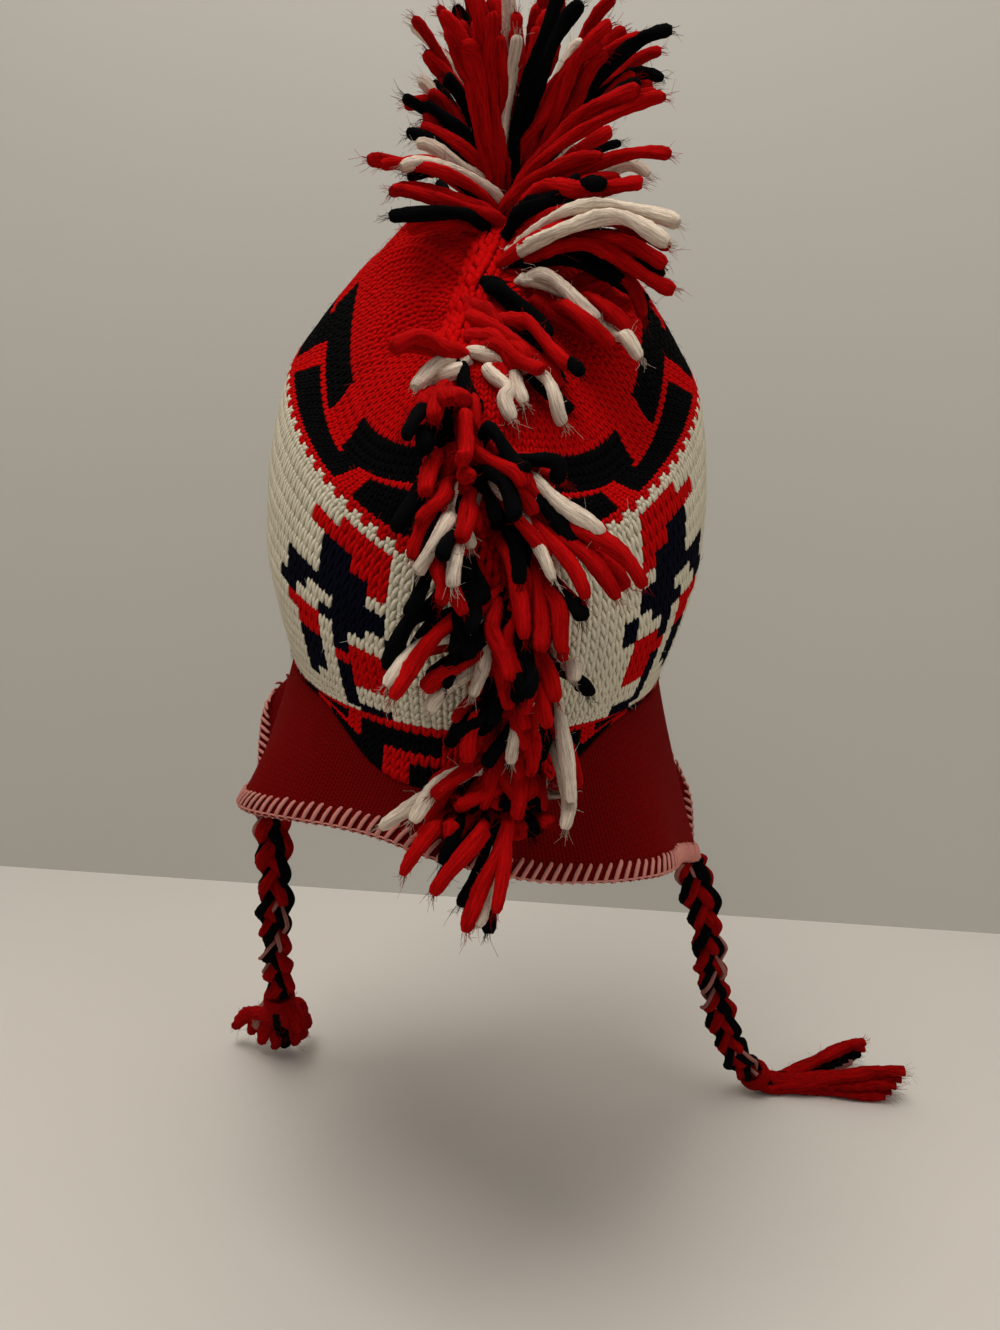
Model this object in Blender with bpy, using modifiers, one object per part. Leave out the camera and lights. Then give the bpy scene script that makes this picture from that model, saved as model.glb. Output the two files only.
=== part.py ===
"""Knitted winter hat with a yarn crest, two ear flaps and a braided tie with a tassel on each flap.

Metres, +Z up. X = 0 is the hat's middle, +Y is the wearer's face and -Y the nape.
The origin is the inner top of the crown, where the wearer's head touches it.
"""
import math

import bmesh
import bpy
from mathutils import Matrix, Vector
from mathutils.bvhtree import BVHTree

# Driving dimensions of the knitted body
HAT_WIDTH = 0.191
HAT_DEPTH = 0.200
BODY_HEIGHT = 0.228
KNIT_WALL = 0.0045

# Driving dimensions of the skirt with the ear flaps
SKIRT_WALL = 0.0040
SKIRT_DROP = 0.0560
FLAP_REACH = 0.1350
FLUTE_DEPTH = 0.0012
SEAM_GAP = 0.0011

# Driving dimensions of the crest
RIDGE_WIDTH = 0.022
RIDGE_HEIGHT = 0.006
RIDGE_CLEARANCE = 0.00125
LOCK_THICKNESS = 0.012
FRONT_LOCK_LENGTH = 0.088
TOP_LOCK_LENGTH = 0.072
NAPE_LOCK_LENGTH = 0.056

# Driving dimensions of the ties
BRAID_WIDTH = 0.0215
TIE_LENGTH = 0.010
TIE_SWELL = 0.0015
TASSEL_HEAD = 0.016
TIE_GAP = 0.0004

# The level the tassels rest on, below the origin
REST_LEVEL = -0.4525

# Shaping of the knit
GATHER_DEPTH = 0.0022
GATHER_COUNT = 14
CREST_FLAT = 0.80
COLUMNS = 48
CROWN_TOP = KNIT_WALL

# Sections of the knitted body from the crown's gathered point down to the skirt.
# back, front: places of the ring's two ends, as shares of half the depth
# width: half width, as a share of half the hat's width
# nape, back_side, front_side, face: how far the ring lies below the crown's top at 0, 60, 120 and
# 180 degrees round from the nape, as shares of the body's height
# dip, spread: how far the ring dips at the nape besides, and the angle in degrees it dips over
BODY_SECTIONS = [
    # back, front, width, nape, back_side, front_side, face, dip, spread
    (-0.580, -0.580, 0.000, 0.237, 0.237, 0.237, 0.237, 0.000, 40.0),
    (-0.660, -0.220, 0.147, 0.281, 0.250, 0.114, 0.070, 0.000, 40.0),
    (-0.740, 0.140, 0.314, 0.325, 0.268, 0.031, 0.000, 0.000, 40.0),
    (-0.820, 0.420, 0.471, 0.377, 0.311, 0.018, 0.013, 0.000, 40.0),
    (-0.900, 0.600, 0.597, 0.439, 0.373, 0.053, 0.057, 0.004, 30.0),
    (-0.950, 0.750, 0.718, 0.496, 0.439, 0.092, 0.118, 0.008, 26.0),
    (-0.990, 0.870, 0.827, 0.557, 0.447, 0.154, 0.189, 0.018, 25.0),
    (-1.000, 0.970, 0.927, 0.632, 0.456, 0.250, 0.285, 0.026, 24.0),
    (-0.980, 1.010, 0.995, 0.712, 0.570, 0.395, 0.399, 0.018, 25.0),
    (-0.950, 1.020, 1.005, 0.785, 0.680, 0.535, 0.513, 0.009, 28.0),
    (-0.920, 1.010, 0.948, 0.851, 0.785, 0.662, 0.614, 0.004, 30.0),
    (-0.900, 0.990, 0.874, 0.899, 0.864, 0.768, 0.697, 0.000, 40.0),
    (-0.915, 1.000, 0.866, 0.895, 0.877, 0.803, 0.790, 0.105, 38.0),
]
FORWARD_SWELL = 0.10
RINGS_BETWEEN = 2
NARROW_DIP = 2
WIDE_DIP = 4
WIDE_DIP_LEVEL = 0.94

# The skirt's lower edge, round from the nape to the face on each side.
# angle: degrees from the nape
# reach: distance from the hat's middle, as a share of the flap's reach
# drop: how far the edge lies below the nape's edge of the body, as a share of the skirt's drop
LEFT_EDGE = [
    # angle, reach, drop
    (0.0, 0.715, 0.430),
    (20.0, 0.718, 0.320),
    (45.0, 0.752, 0.345),
    (60.0, 0.765, 0.400),
    (75.0, 0.755, 0.480),
    (90.0, 0.760, 0.610),
    (105.0, 0.815, 0.800),
    (118.5, 0.940, 1.000),
    (121.5, 0.980, 0.215),
    (135.0, 0.870, 0.060),
    (157.5, 0.800, -0.350),
    (180.0, 0.780, -0.500),
]
RIGHT_EDGE = [
    # angle, reach, drop
    (0.0, 0.715, 0.430),
    (20.0, 0.718, 0.580),
    (45.0, 0.756, 0.590),
    (60.0, 0.768, 0.640),
    (75.0, 0.764, 0.750),
    (90.0, 0.782, 0.900),
    (105.0, 0.872, 1.080),
    (118.5, 1.034, 1.260),
    (121.5, 1.044, 0.780),
    (135.0, 0.900, 0.200),
    (157.5, 0.805, -0.300),
    (180.0, 0.780, -0.500),
]
SKIRT_ROWS = 6
FLARE_CURVE = 1.15
FLUTE_COUNT = 7
FLUTE_TURN = 0.6

# The crest's line over the hat, and how its locks stand off it.
# angle: seen from the hat's inside, 0 at the nape and 90 at the top
# side: the line's place right of the middle, as a share of the ridge's width
# fall: how far the locks lean down the line, as a share of how far they stand off it
# left, right: how far the outer locks lean sideways, in degrees
CREST_EYE_DROP = 0.555
CREST_LINE = [
    # angle, side, fall, left, right
    (-47.0, 0.50, 1.25, 26.0, -8.0),
    (-36.0, 0.64, 1.20, 28.0, 2.0),
    (-24.0, 0.70, 1.15, 30.0, 12.0),
    (-6.0, -0.10, 1.05, 28.0, 24.0),
    (16.0, -0.45, 0.95, 4.0, 34.0),
    (34.0, -0.78, 0.70, -12.0, 44.0),
    (58.0, -0.45, 0.35, -6.0, 54.0),
    (90.0, 0.00, 0.00, 20.0, 42.0),
    (112.0, 0.00, 0.00, 23.0, 34.0),
    (150.0, 0.00, 0.00, 20.0, 30.0),
]

# The crest's three lengths
CREST_LENGTHS = {
    # name: (first angle, last angle, stations, lock length, sag as a share of it)
    "crest_nape": (-46.0, 13.0, 9, NAPE_LOCK_LENGTH, 0.12),
    "crest_top": (17.0, 69.0, 9, TOP_LOCK_LENGTH, 0.12),
    "crest_front": (77.0, 148.0, 9, FRONT_LOCK_LENGTH, 0.05),
}
MIDDLE_LEAN = 0.35
ROWS_PER_STATION = 2
LOCK_SEGMENTS = 3
LOCK_ROOT = 0.80
LOCK_TIP = 0.75
REACH = 2.0 * HAT_DEPTH

# The ties' routes from the flaps, one smooth curve through points chosen by hand
LEFT_ROUTE = [
    (-0.1036, 0.0600, -0.2822),
    (-0.1033, 0.0600, -0.2980),
    (-0.1028, 0.0610, -0.3142),
    (-0.1022, 0.0630, -0.3296),
    (-0.1018, 0.0655, -0.3442),
    (-0.1016, 0.0690, -0.3589),
    (-0.1016, 0.0735, -0.3739),
    (-0.1018, 0.0790, -0.3878),
    (-0.1022, 0.0850, -0.4006),
]
RIGHT_ROUTE = [
    (0.1190, 0.0608, -0.2966),
    (0.1206, 0.0604, -0.3050),
    (0.1243, 0.0620, -0.3150),
    (0.1296, 0.0652, -0.3310),
    (0.1342, 0.0695, -0.3480),
    (0.1386, 0.0735, -0.3640),
    (0.1443, 0.0790, -0.3815),
    (0.1512, 0.0860, -0.4030),
    (0.1610, 0.0930, -0.4225),
    (0.1738, 0.0990, -0.4365),
]
ROUTE_STEPS = 3

# The tassels.
# turn: sideways from the braid's end, in degrees
# lying: the share of the length that runs level
# fall: how soon the locks come down to the level they rest on
# spread: how wide the locks fan out at their ends
TASSELS = {
    # side: (length, turn, lying, fall, spread)
    "left": (0.042, 0.0, 0.30, 1.0, 0.040),
    "right": (0.084, -16.0, 1.00, 1.6, 0.046),
}
TASSEL_LOCKS = 5
TASSEL_NECK = 0.005
TASSEL_THICK = 0.0095
TASSEL_TAPER = 0.80
LOCK_FILL = 0.86

COLLECTION = "winter_hat"
COLOURS = {
    # material: (red, green, blue, roughness)
    "knit_patterned": (0.52, 0.50, 0.42, 0.95),
    "knit_red": (0.26, 0.010, 0.012, 0.95),
    "yarn_crest": (0.50, 0.015, 0.013, 0.90),
    "yarn_braid": (0.20, 0.010, 0.012, 0.92),
}


def clear_scene():
    for thing in list(bpy.data.objects):
        bpy.data.objects.remove(thing, do_unlink=True)


def material(name):
    made = bpy.data.materials.get(name)
    if made is None:
        made = bpy.data.materials.new(name)
        made.use_nodes = True
        red, green, blue, rough = COLOURS[name]
        shader = made.node_tree.nodes["Principled BSDF"]
        shader.inputs["Base Color"].default_value = (red, green, blue, 1.0)
        shader.inputs["Roughness"].default_value = rough
        shader.inputs["Metallic"].default_value = 0.0
    return made


def add_object(name, data, finish, home):
    made = bpy.data.objects.new(name, data)
    made.data.materials.append(material(finish))
    home.objects.link(made)
    return made


def mesh_from(name, build):
    """A mesh that the function build fills."""
    bm = bmesh.new()
    build(bm)
    mesh = bpy.data.meshes.new(name)
    bm.to_mesh(mesh)
    bm.free()
    mesh.shade_smooth()
    mesh.set_sharp_from_angle(angle=math.radians(50.0))
    return mesh


def between(table, at):
    """The columns of a table at a place along its first column, on a smooth curve through its rows."""
    keys = [row[0] for row in table]
    last = len(table) - 1
    at = min(max(at, keys[0]), keys[last])
    i = max(k for k in range(last) if keys[k] <= at)
    share = (at - keys[i]) / (keys[i + 1] - keys[i])

    def slope(k, column):
        low, high = max(k - 1, 0), min(k + 1, last)
        steps = [
            (table[b][column] - table[a][column]) / (keys[b] - keys[a])
            for a, b in ((low, k), (k, high))
            if b > a
        ]
        if len(steps) == 2 and steps[0] * steps[1] <= 0.0:
            return 0.0
        return sum(steps) / len(steps)

    width = keys[i + 1] - keys[i]
    found = []
    for column in range(1, len(table[0])):
        a, b = table[i][column], table[i + 1][column]
        m, n = slope(i, column) * width, slope(i + 1, column) * width
        s, q = share, share * share
        c = q * share
        found.append(
            a * (2 * c - 3 * q + 1) + m * (c - 2 * q + s) + b * (3 * q - 2 * c) + n * (c - q)
        )
    return found


def column_angles():
    """The columns' angles from the nape, negative to the left, with two close ones at each flap's
    front corner."""
    step = 360.0 / COLUMNS
    corner = 120.0
    angles = []
    for k in range(COLUMNS):
        angle = -180.0 + k * step
        if abs(abs(angle) - corner) < step / 3:
            angles += [angle - 1.5, angle + 1.5]
        else:
            angles.append(angle)
    return angles


def body_row(level):
    """One row's section values; level runs from 0 at the crown's point to 1 at the skirt."""
    last = len(BODY_SECTIONS) - 1
    table = [(k / last, *row) for k, row in enumerate(BODY_SECTIONS)]
    return between(table, level)


def around(values, turn):
    """A height round a ring from its values at 0, 60, 120 and 180 degrees, smooth all the way."""
    nape, back_side, front_side, face = values
    mean = (nape + 2.0 * back_side + 2.0 * front_side + face) / 6.0
    first = (nape + back_side - front_side - face) / 3.0
    second = (nape - back_side - front_side + face) / 3.0
    third = (nape - 2.0 * back_side + 2.0 * front_side - face) / 6.0
    return mean + sum(
        wave * math.cos(turns * turn) for turns, wave in enumerate((first, second, third), start=1)
    )


def body_point(level, angle):
    """A point on the outer face of the knitted body."""
    back, front, width, *drops, dip, spread = body_row(level)
    turn = math.radians(angle)
    share = (1.0 - math.cos(turn)) / 2.0
    power = WIDE_DIP if level > WIDE_DIP_LEVEL else NARROW_DIP
    drop = around(drops, turn) + dip * math.exp(-((abs(angle) / spread) ** power))
    x = width * HAT_WIDTH / 2.0 * math.sin(turn) * (1.0 - FORWARD_SWELL * math.cos(turn))
    y = (back + (front - back) * share) * HAT_DEPTH / 2.0
    z = CROWN_TOP - drop * BODY_HEIGHT
    return Vector((x, y, z))


def gather(level, angle):
    """The depth of the gathers that run into the crown's point, flat at the point and the band."""
    fade = math.sin(math.pi * min(level / 0.40, 1.0)) ** 2
    off_crest = 1.0 - math.exp(-((math.sin(math.radians(angle)) / CREST_FLAT) ** 2))
    return GATHER_DEPTH * fade * off_crest * math.cos(GATHER_COUNT * math.radians(angle))


def body_levels():
    steps = (len(BODY_SECTIONS) - 1) * RINGS_BETWEEN
    return [k / steps for k in range(1, steps + 1)]


def knit_body(home):
    """The crown and the patterned bands: a shell gathered to a point, open below."""
    angles = column_angles()

    def build(bm):
        tip = bm.verts.new(body_point(0.0, 0.0))
        above = None
        for level in body_levels():
            row = []
            for angle in angles:
                place = body_point(level, angle)
                outward = Vector((place.x, place.y, 0.0))
                if outward.length > 0.0:
                    place += outward.normalized() * gather(level, angle)
                row.append(bm.verts.new(place))
            for k in range(len(row)):
                following = (k + 1) % len(row)
                if above is None:
                    bm.faces.new((tip, row[k], row[following]))
                else:
                    bm.faces.new((above[k], row[k], row[following], above[following]))
            above = row

    shell = add_object("knit_body", mesh_from("knit_body", build), "knit_patterned", home)
    wall = shell.modifiers.new("wall", "SOLIDIFY")
    wall.thickness = KNIT_WALL
    wall.offset = -1.0
    wall.use_even_offset = False
    return shell


def skirt_edge(angle):
    """The skirt's lower edge at an angle: its reach from the middle and its height."""
    reach, drop = between(LEFT_EDGE if angle < 0.0 else RIGHT_EDGE, abs(angle))
    nape = body_point(1.0, 0.0).z
    turn = math.radians(angle)
    x = reach * FLAP_REACH * math.sin(turn)
    y = -reach * FLAP_REACH * math.cos(turn)
    return Vector((x, y, nape - SEAM_GAP - drop * SKIRT_DROP))


def skirt_point(share, angle):
    """A point on the skirt's outer face; share runs from 0 at the body to 1 at the edge."""
    top = body_point(1.0, angle)
    top.z -= SEAM_GAP
    edge = skirt_edge(angle)
    place = top.lerp(edge, share)
    bow = share**FLARE_CURVE - share
    place.x += (edge.x - top.x) * bow
    place.y += (edge.y - top.y) * bow
    flute = FLUTE_DEPTH * share * math.cos(FLUTE_COUNT * math.radians(angle) + FLUTE_TURN)
    outward = Vector((place.x, place.y, 0.0)).normalized()
    return place + outward * flute


def neck_skirt(home):
    """The flared part with the ear flaps: an open ring with a wall."""
    angles = column_angles()

    def build(bm):
        rows = [
            [bm.verts.new(skirt_point(row / SKIRT_ROWS, angle)) for angle in angles]
            for row in range(SKIRT_ROWS + 1)
        ]
        for above, below in zip(rows, rows[1:]):
            for k in range(len(above)):
                following = (k + 1) % len(above)
                bm.faces.new((above[k], below[k], below[following], above[following]))

    skirt = add_object("neck_skirt", mesh_from("neck_skirt", build), "knit_red", home)
    wall = skirt.modifiers.new("wall", "SOLIDIFY")
    wall.thickness = SKIRT_WALL
    wall.offset = -1.0
    wall.use_even_offset = False
    return skirt


def surface_of(shell):
    """A tree of a shell's faces as the viewport shows them."""
    return BVHTree.FromObject(shell, bpy.context.evaluated_depsgraph_get())


def crest_eye():
    return -CREST_EYE_DROP * BODY_HEIGHT + CROWN_TOP


def crest_place(tree, angle, side):
    """The hat's outer face at a station of the crest, side metres from the crest's line, with its
    outward direction."""
    line = between(CREST_LINE, angle)[0]
    turn = math.radians(angle)
    outward = Vector((0.0, -math.cos(turn), math.sin(turn)))
    start = Vector((line * RIDGE_WIDTH + side, 0.0, crest_eye())) + outward * REACH
    place, normal, _, _ = tree.ray_cast(start, -outward, REACH)
    if normal.dot(outward) < 0.0:
        normal = -normal
    return place, normal


def lock_heading(normal, angle, side):
    """The direction a lock leaves the crest's line in; side is 1 at the right, -1 at the left."""
    _, fall, left, right = between(CREST_LINE, angle)
    across = Vector((1.0, 0.0, 0.0))
    upright = (normal + across.cross(normal) * fall).normalized()
    lean = math.radians((right if side > 0.0 else left) * side)
    return upright * math.cos(lean) + across * math.sin(lean)


def push_clear(tree, place, away):
    """The place, moved outwards until it lies at least away from the hat's outer face."""
    eye = Vector((0.0, 0.0, crest_eye()))
    outward = (place - eye).normalized()
    face, _, _, _ = tree.ray_cast(eye + outward * REACH, -outward, REACH)
    if face is None or (place - eye).length >= (face - eye).length + away:
        return place
    return face + outward * away


def lock_path(trees, root, outward, length, sag):
    """Points along a lock from its root, drooping and kept clear of the hat."""
    path = []
    for step in range(1, LOCK_SEGMENTS + 1):
        share = step / LOCK_SEGMENTS
        place = root + outward * length * share
        place.z -= sag * length * share * share
        for tree in trees:
            place = push_clear(tree, place, LOCK_THICKNESS)
        path.append(place)
    return path


def grow_lock(bm, face, path):
    """Draws a face of the ridge out into a lock along a path."""
    bmesh.ops.inset_individual(bm, faces=[face], thickness=0.0)
    centre = face.calc_center_median()
    for vert in face.verts:
        vert.co = centre + (vert.co - centre) * LOCK_ROOT
    facing = face.normal.copy()
    previous = centre
    for step, place in enumerate(path):
        ahead = (place - previous).normalized()
        grown = bmesh.ops.extrude_discrete_faces(bm, faces=[face])["faces"][0]
        middle = grown.calc_center_median()
        turn = facing.rotation_difference(ahead).to_matrix()
        reach = max((vert.co - middle).length for vert in grown.verts)
        share = (step + 1) / len(path)
        size = LOCK_THICKNESS * (0.5 + (LOCK_TIP - 1.0) * 0.5 * share) / reach
        for vert in grown.verts:
            vert.co = place + turn @ ((vert.co - middle) * size)
        facing = ahead
        previous = place
        face = grown


def crest_length(name, trees, home):
    """One length of the crest: a raised knitted ridge with yarn locks drawn out of it."""
    first, last, stations, length, sag = CREST_LENGTHS[name]
    half = RIDGE_WIDTH / 2.0
    inner = half * 0.36
    rises = [
        (-half, RIDGE_CLEARANCE),
        (-half * 0.5, RIDGE_CLEARANCE),
        (0.0, RIDGE_CLEARANCE),
        (half * 0.5, RIDGE_CLEARANCE),
        (half, RIDGE_CLEARANCE),
        (half, RIDGE_HEIGHT * 0.45),
        (inner, RIDGE_HEIGHT),
        (-inner, RIDGE_HEIGHT),
        (-half, RIDGE_HEIGHT * 0.45),
    ]
    outer = [5, 6, 7]

    def build(bm):
        rows = []
        for k in range(stations * ROWS_PER_STATION + 1):
            angle = first + (last - first) * k / (stations * ROWS_PER_STATION)
            row = []
            for side, rise in rises:
                place, _ = crest_place(trees[0], angle, side)
                _, normal = crest_place(trees[0], angle, 0.0)
                row.append(bm.verts.new(place + normal * rise))
            rows.append(row)
        bm.faces.new(rows[0])
        bm.faces.new(rows[-1])
        roots = []
        for k, (below, above) in enumerate(zip(rows, rows[1:])):
            for j in range(len(rises)):
                following = (j + 1) % len(rises)
                face = bm.faces.new((below[j], below[following], above[following], above[j]))
                if j in outer and (k + outer.index(j)) % ROWS_PER_STATION == 0:
                    roots.append((k, 1 - outer.index(j), face))
        bmesh.ops.recalc_face_normals(bm, faces=bm.faces)
        for k, side, face in roots:
            angle = first + (last - first) * (k + 0.5) / (stations * ROWS_PER_STATION)
            _, normal = crest_place(trees[0], angle, 0.0)
            lean = side or (MIDDLE_LEAN if k % 4 < 2 else -MIDDLE_LEAN)
            heading = lock_heading(normal, angle, lean)
            long = length * (1.0 + 0.10 * math.sin(2.4 * k + 1.3 * side))
            root = face.calc_center_median()
            grow_lock(bm, face, lock_path(trees, root, heading, long, sag))

    return add_object(name, mesh_from(name, build), "yarn_crest", home)


def smooth_route(points):
    """A smooth curve through the route's points, as more points."""
    made = []
    for i in range(len(points) - 1):
        a = points[max(i - 1, 0)]
        b = points[i]
        c = points[i + 1]
        d = points[min(i + 2, len(points) - 1)]
        for step in range(ROUTE_STEPS):
            t = step / ROUTE_STEPS
            made.append(
                0.5
                * (
                    2 * b
                    + (c - a) * t
                    + (2 * a - 5 * b + 4 * c - d) * t * t
                    + (3 * b - a - 3 * c + d) * t * t * t
                )
            )
    return made + [points[-1]]


def braid(name, route, home):
    """A tie along its route, as a round tube."""
    curve = bpy.data.curves.new(name, "CURVE")
    curve.dimensions = "3D"
    curve.bevel_depth = BRAID_WIDTH / 2.0
    curve.bevel_resolution = 3
    curve.use_fill_caps = True
    points = smooth_route([Vector(p) for p in route])
    spline = curve.splines.new("POLY")
    spline.points.add(len(points) - 1)
    for point, place in zip(spline.points, points):
        point.co = (*place, 1.0)
    return add_object(name, curve, "yarn_braid", home)


def along_end(route):
    """The route's last point and its direction there."""
    end, before = Vector(route[-1]), Vector(route[-2])
    return end, (end - before).normalized()


def place_along(thing, place, direction):
    turn = direction.to_track_quat("Z", "Y").to_matrix().to_4x4()
    thing.matrix_world = Matrix.Translation(place) @ turn


def tie(name, route, home):
    """The wrap that binds the braid's end: a short barrel of wound yarn."""
    end, direction = along_end(route)
    radius = BRAID_WIDTH / 2.0 * 0.72

    def build(bm):
        bmesh.ops.create_cone(
            bm,
            cap_ends=True,
            segments=14,
            radius1=radius,
            radius2=radius,
            depth=TIE_LENGTH,
        )
        rim = [e for e in bm.edges if abs(e.verts[0].co.z - e.verts[1].co.z) > TIE_LENGTH / 2]
        cut = bmesh.ops.subdivide_edges(bm, edges=rim, cuts=2)
        for vert in {v for v in cut["geom_inner"] if isinstance(v, bmesh.types.BMVert)}:
            flat = Vector((vert.co.x, vert.co.y, 0.0))
            vert.co += flat.normalized() * TIE_SWELL

    made = add_object(name, mesh_from(name, build), "yarn_braid", home)
    place_along(made, end + direction * (TIE_GAP + TIE_LENGTH / 2.0), direction)
    return made


def tassel(name, side, route, home):
    """A tassel: a flat head split into locks that fan out side by side, resting where the braid ends."""
    length, turned, lying, fall, spread = TASSELS[side]
    end, direction = along_end(route)
    start = end + direction * (2.0 * TIE_GAP + TIE_LENGTH)
    level = Vector((direction.x, direction.y, 0.0)).normalized()
    level = Matrix.Rotation(math.radians(turned), 3, "Z") @ level
    across = Vector((-level.y, level.x, 0.0))
    beside = Vector((-direction.y, direction.x, 0.0)).normalized()
    ahead = (direction + level * lying).normalized()
    neck = start + ahead * TASSEL_NECK

    def edge_points(bm, centre, facing, wide, first, last, thick):
        """Four corners of a cross section: first to last along wide, thick from face to face."""
        above = wide.cross(facing).normalized() * thick / 2.0
        return [
            bm.verts.new(centre + wide * place + above * sign)
            for place, sign in ((first, -1), (last, -1), (last, 1), (first, 1))
        ]

    def join(bm, near, far, sides):
        for k in sides:
            following = (k + 1) % 4
            bm.faces.new((near[k], near[following], far[following], far[k]))

    def build(bm):
        strip = TASSEL_HEAD / TASSEL_LOCKS
        for k in range(TASSEL_LOCKS):
            first = strip * k - TASSEL_HEAD / 2.0
            narrow = TASSEL_TAPER
            back = edge_points(
                bm,
                start,
                direction,
                beside,
                first * narrow,
                (first + strip) * narrow,
                TASSEL_THICK * narrow,
            )
            bm.faces.new(back)
            near = edge_points(bm, neck, ahead, across, first, first + strip, TASSEL_THICK)
            outer = [1] * (k == TASSEL_LOCKS - 1) + [3] * (k == 0)
            join(bm, back, near, [0, 2] + outer)
            middle = first + strip / 2.0
            long = length * (1.0 + 0.08 * math.sin(2.1 * k))
            rest = REST_LEVEL + TASSEL_THICK / 2.0
            before = neck
            for step in range(1, LOCK_SEGMENTS + 1):
                share = step / LOCK_SEGMENTS
                fanned = 1.0 + (spread / TASSEL_HEAD - 1.0) * share
                centre = neck + level * long * lying * share
                centre.z = neck.z + (rest - neck.z) * min(1.0, fall * share)
                half = strip * fanned * LOCK_FILL / 2.0
                far = edge_points(
                    bm,
                    centre,
                    (centre - before).normalized(),
                    across,
                    middle * fanned - half,
                    middle * fanned + half,
                    TASSEL_THICK,
                )
                join(bm, near, far, range(4))
                near, before = far, centre
            bm.faces.new(near)
        bmesh.ops.remove_doubles(bm, verts=bm.verts, dist=TIE_GAP / 10.0)
        bmesh.ops.recalc_face_normals(bm, faces=bm.faces)

    return add_object(name, mesh_from(name, build), "yarn_crest", home)


def main():
    clear_scene()
    home = bpy.data.collections.new(COLLECTION)
    bpy.context.scene.collection.children.link(home)
    body = knit_body(home)
    skirt = neck_skirt(home)
    bpy.context.view_layer.update()
    trees = [surface_of(body), surface_of(skirt)]
    for name in CREST_LENGTHS:
        crest_length(name, trees, home)
    for side, route in (("left", LEFT_ROUTE), ("right", RIGHT_ROUTE)):
        braid(side + "_braid", route, home)
        tie(side + "_tie", route, home)
        tassel(side + "_tassel", side, route, home)


main()
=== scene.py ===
"""Looks of a knitted winter hat: a chunky patterned body with a yarn crest, a fine-knit skirt with two
ear flaps and a blanket-stitched edge, and a braided tie with a tassel on each flap.

Metres, in the part's own frame: +Z up, +Y the wearer's face, the origin inside the crown's top.
"""

import math
import random

import bpy
import numpy as np
from bpy.props import FloatProperty, FloatVectorProperty, IntProperty, PointerProperty
from bpy.types import Operator, Panel, PropertyGroup
from mathutils import Matrix, Vector
from mathutils.bvhtree import BVHTree


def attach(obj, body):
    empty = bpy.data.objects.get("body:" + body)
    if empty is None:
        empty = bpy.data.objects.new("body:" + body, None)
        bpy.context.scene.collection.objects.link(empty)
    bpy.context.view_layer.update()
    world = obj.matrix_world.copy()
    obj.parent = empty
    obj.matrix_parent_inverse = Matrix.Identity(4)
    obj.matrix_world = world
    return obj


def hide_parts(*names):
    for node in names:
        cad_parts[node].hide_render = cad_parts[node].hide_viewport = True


bl_info = {
    "name": "Winter hat looks",
    "version": (1, 0, 0),
    "blender": (4, 5, 0),
    "location": "3D View > Sidebar > Winter Hat",
    "description": "Knits, yarns, crest, ties and a plain stage for a winter hat",
    "category": "Object",
}

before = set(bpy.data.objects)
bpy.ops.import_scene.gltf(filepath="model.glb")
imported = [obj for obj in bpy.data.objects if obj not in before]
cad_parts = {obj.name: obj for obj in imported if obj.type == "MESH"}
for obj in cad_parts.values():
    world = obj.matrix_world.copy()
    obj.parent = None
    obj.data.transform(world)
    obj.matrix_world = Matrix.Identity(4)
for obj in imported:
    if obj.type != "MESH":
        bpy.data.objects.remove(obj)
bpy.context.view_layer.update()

# The hat's own shape, as the plain part has it
HAT_WIDTH = 0.191
HAT_DEPTH = 0.200
BODY_HEIGHT = 0.228
KNIT_WALL = 0.0045
SKIRT_WALL = 0.0040
SKIRT_DROP = 0.0560
FLAP_REACH = 0.1350
SEAM_GAP = 0.0011
FLUTE_DEPTH = 0.0030
FLUTE_COUNT = 7
FLUTE_TURN = 0.6
FLARE_CURVE = 1.15
FORWARD_SWELL = 0.10
GATHER_DEPTH = 0.0022
GATHER_COUNT = 14
CREST_FLAT = 0.80
CREST_EYE_DROP = 0.555
RIDGE_WIDTH = 0.022
BRAID_WIDTH = 0.0215
TIE_LENGTH = 0.010
TIE_GAP = 0.0004
REST_LEVEL = -0.4525

BODY_SECTIONS = [
    # back, front, width, nape, back_side, front_side, face, dip, spread
    (-0.580, -0.580, 0.000, 0.237, 0.237, 0.237, 0.237, 0.000, 40.0),
    (-0.660, -0.220, 0.147, 0.281, 0.250, 0.114, 0.070, 0.000, 40.0),
    (-0.740, 0.140, 0.314, 0.325, 0.268, 0.031, 0.000, 0.000, 40.0),
    (-0.820, 0.420, 0.471, 0.377, 0.311, 0.018, 0.013, 0.000, 40.0),
    (-0.900, 0.600, 0.597, 0.439, 0.373, 0.053, 0.057, 0.004, 30.0),
    (-0.950, 0.750, 0.718, 0.496, 0.439, 0.092, 0.118, 0.008, 26.0),
    (-0.990, 0.870, 0.827, 0.557, 0.447, 0.154, 0.189, 0.018, 25.0),
    (-1.000, 0.970, 0.927, 0.632, 0.456, 0.250, 0.285, 0.026, 24.0),
    (-0.980, 1.010, 0.995, 0.712, 0.570, 0.395, 0.399, 0.018, 25.0),
    (-0.950, 1.020, 1.005, 0.785, 0.680, 0.535, 0.513, 0.009, 28.0),
    (-0.920, 1.010, 0.948, 0.851, 0.785, 0.662, 0.614, 0.004, 30.0),
    (-0.900, 0.990, 0.874, 0.899, 0.864, 0.768, 0.697, 0.000, 40.0),
    (-0.915, 1.000, 0.866, 0.895, 0.877, 0.803, 0.790, 0.105, 38.0),
]
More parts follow.
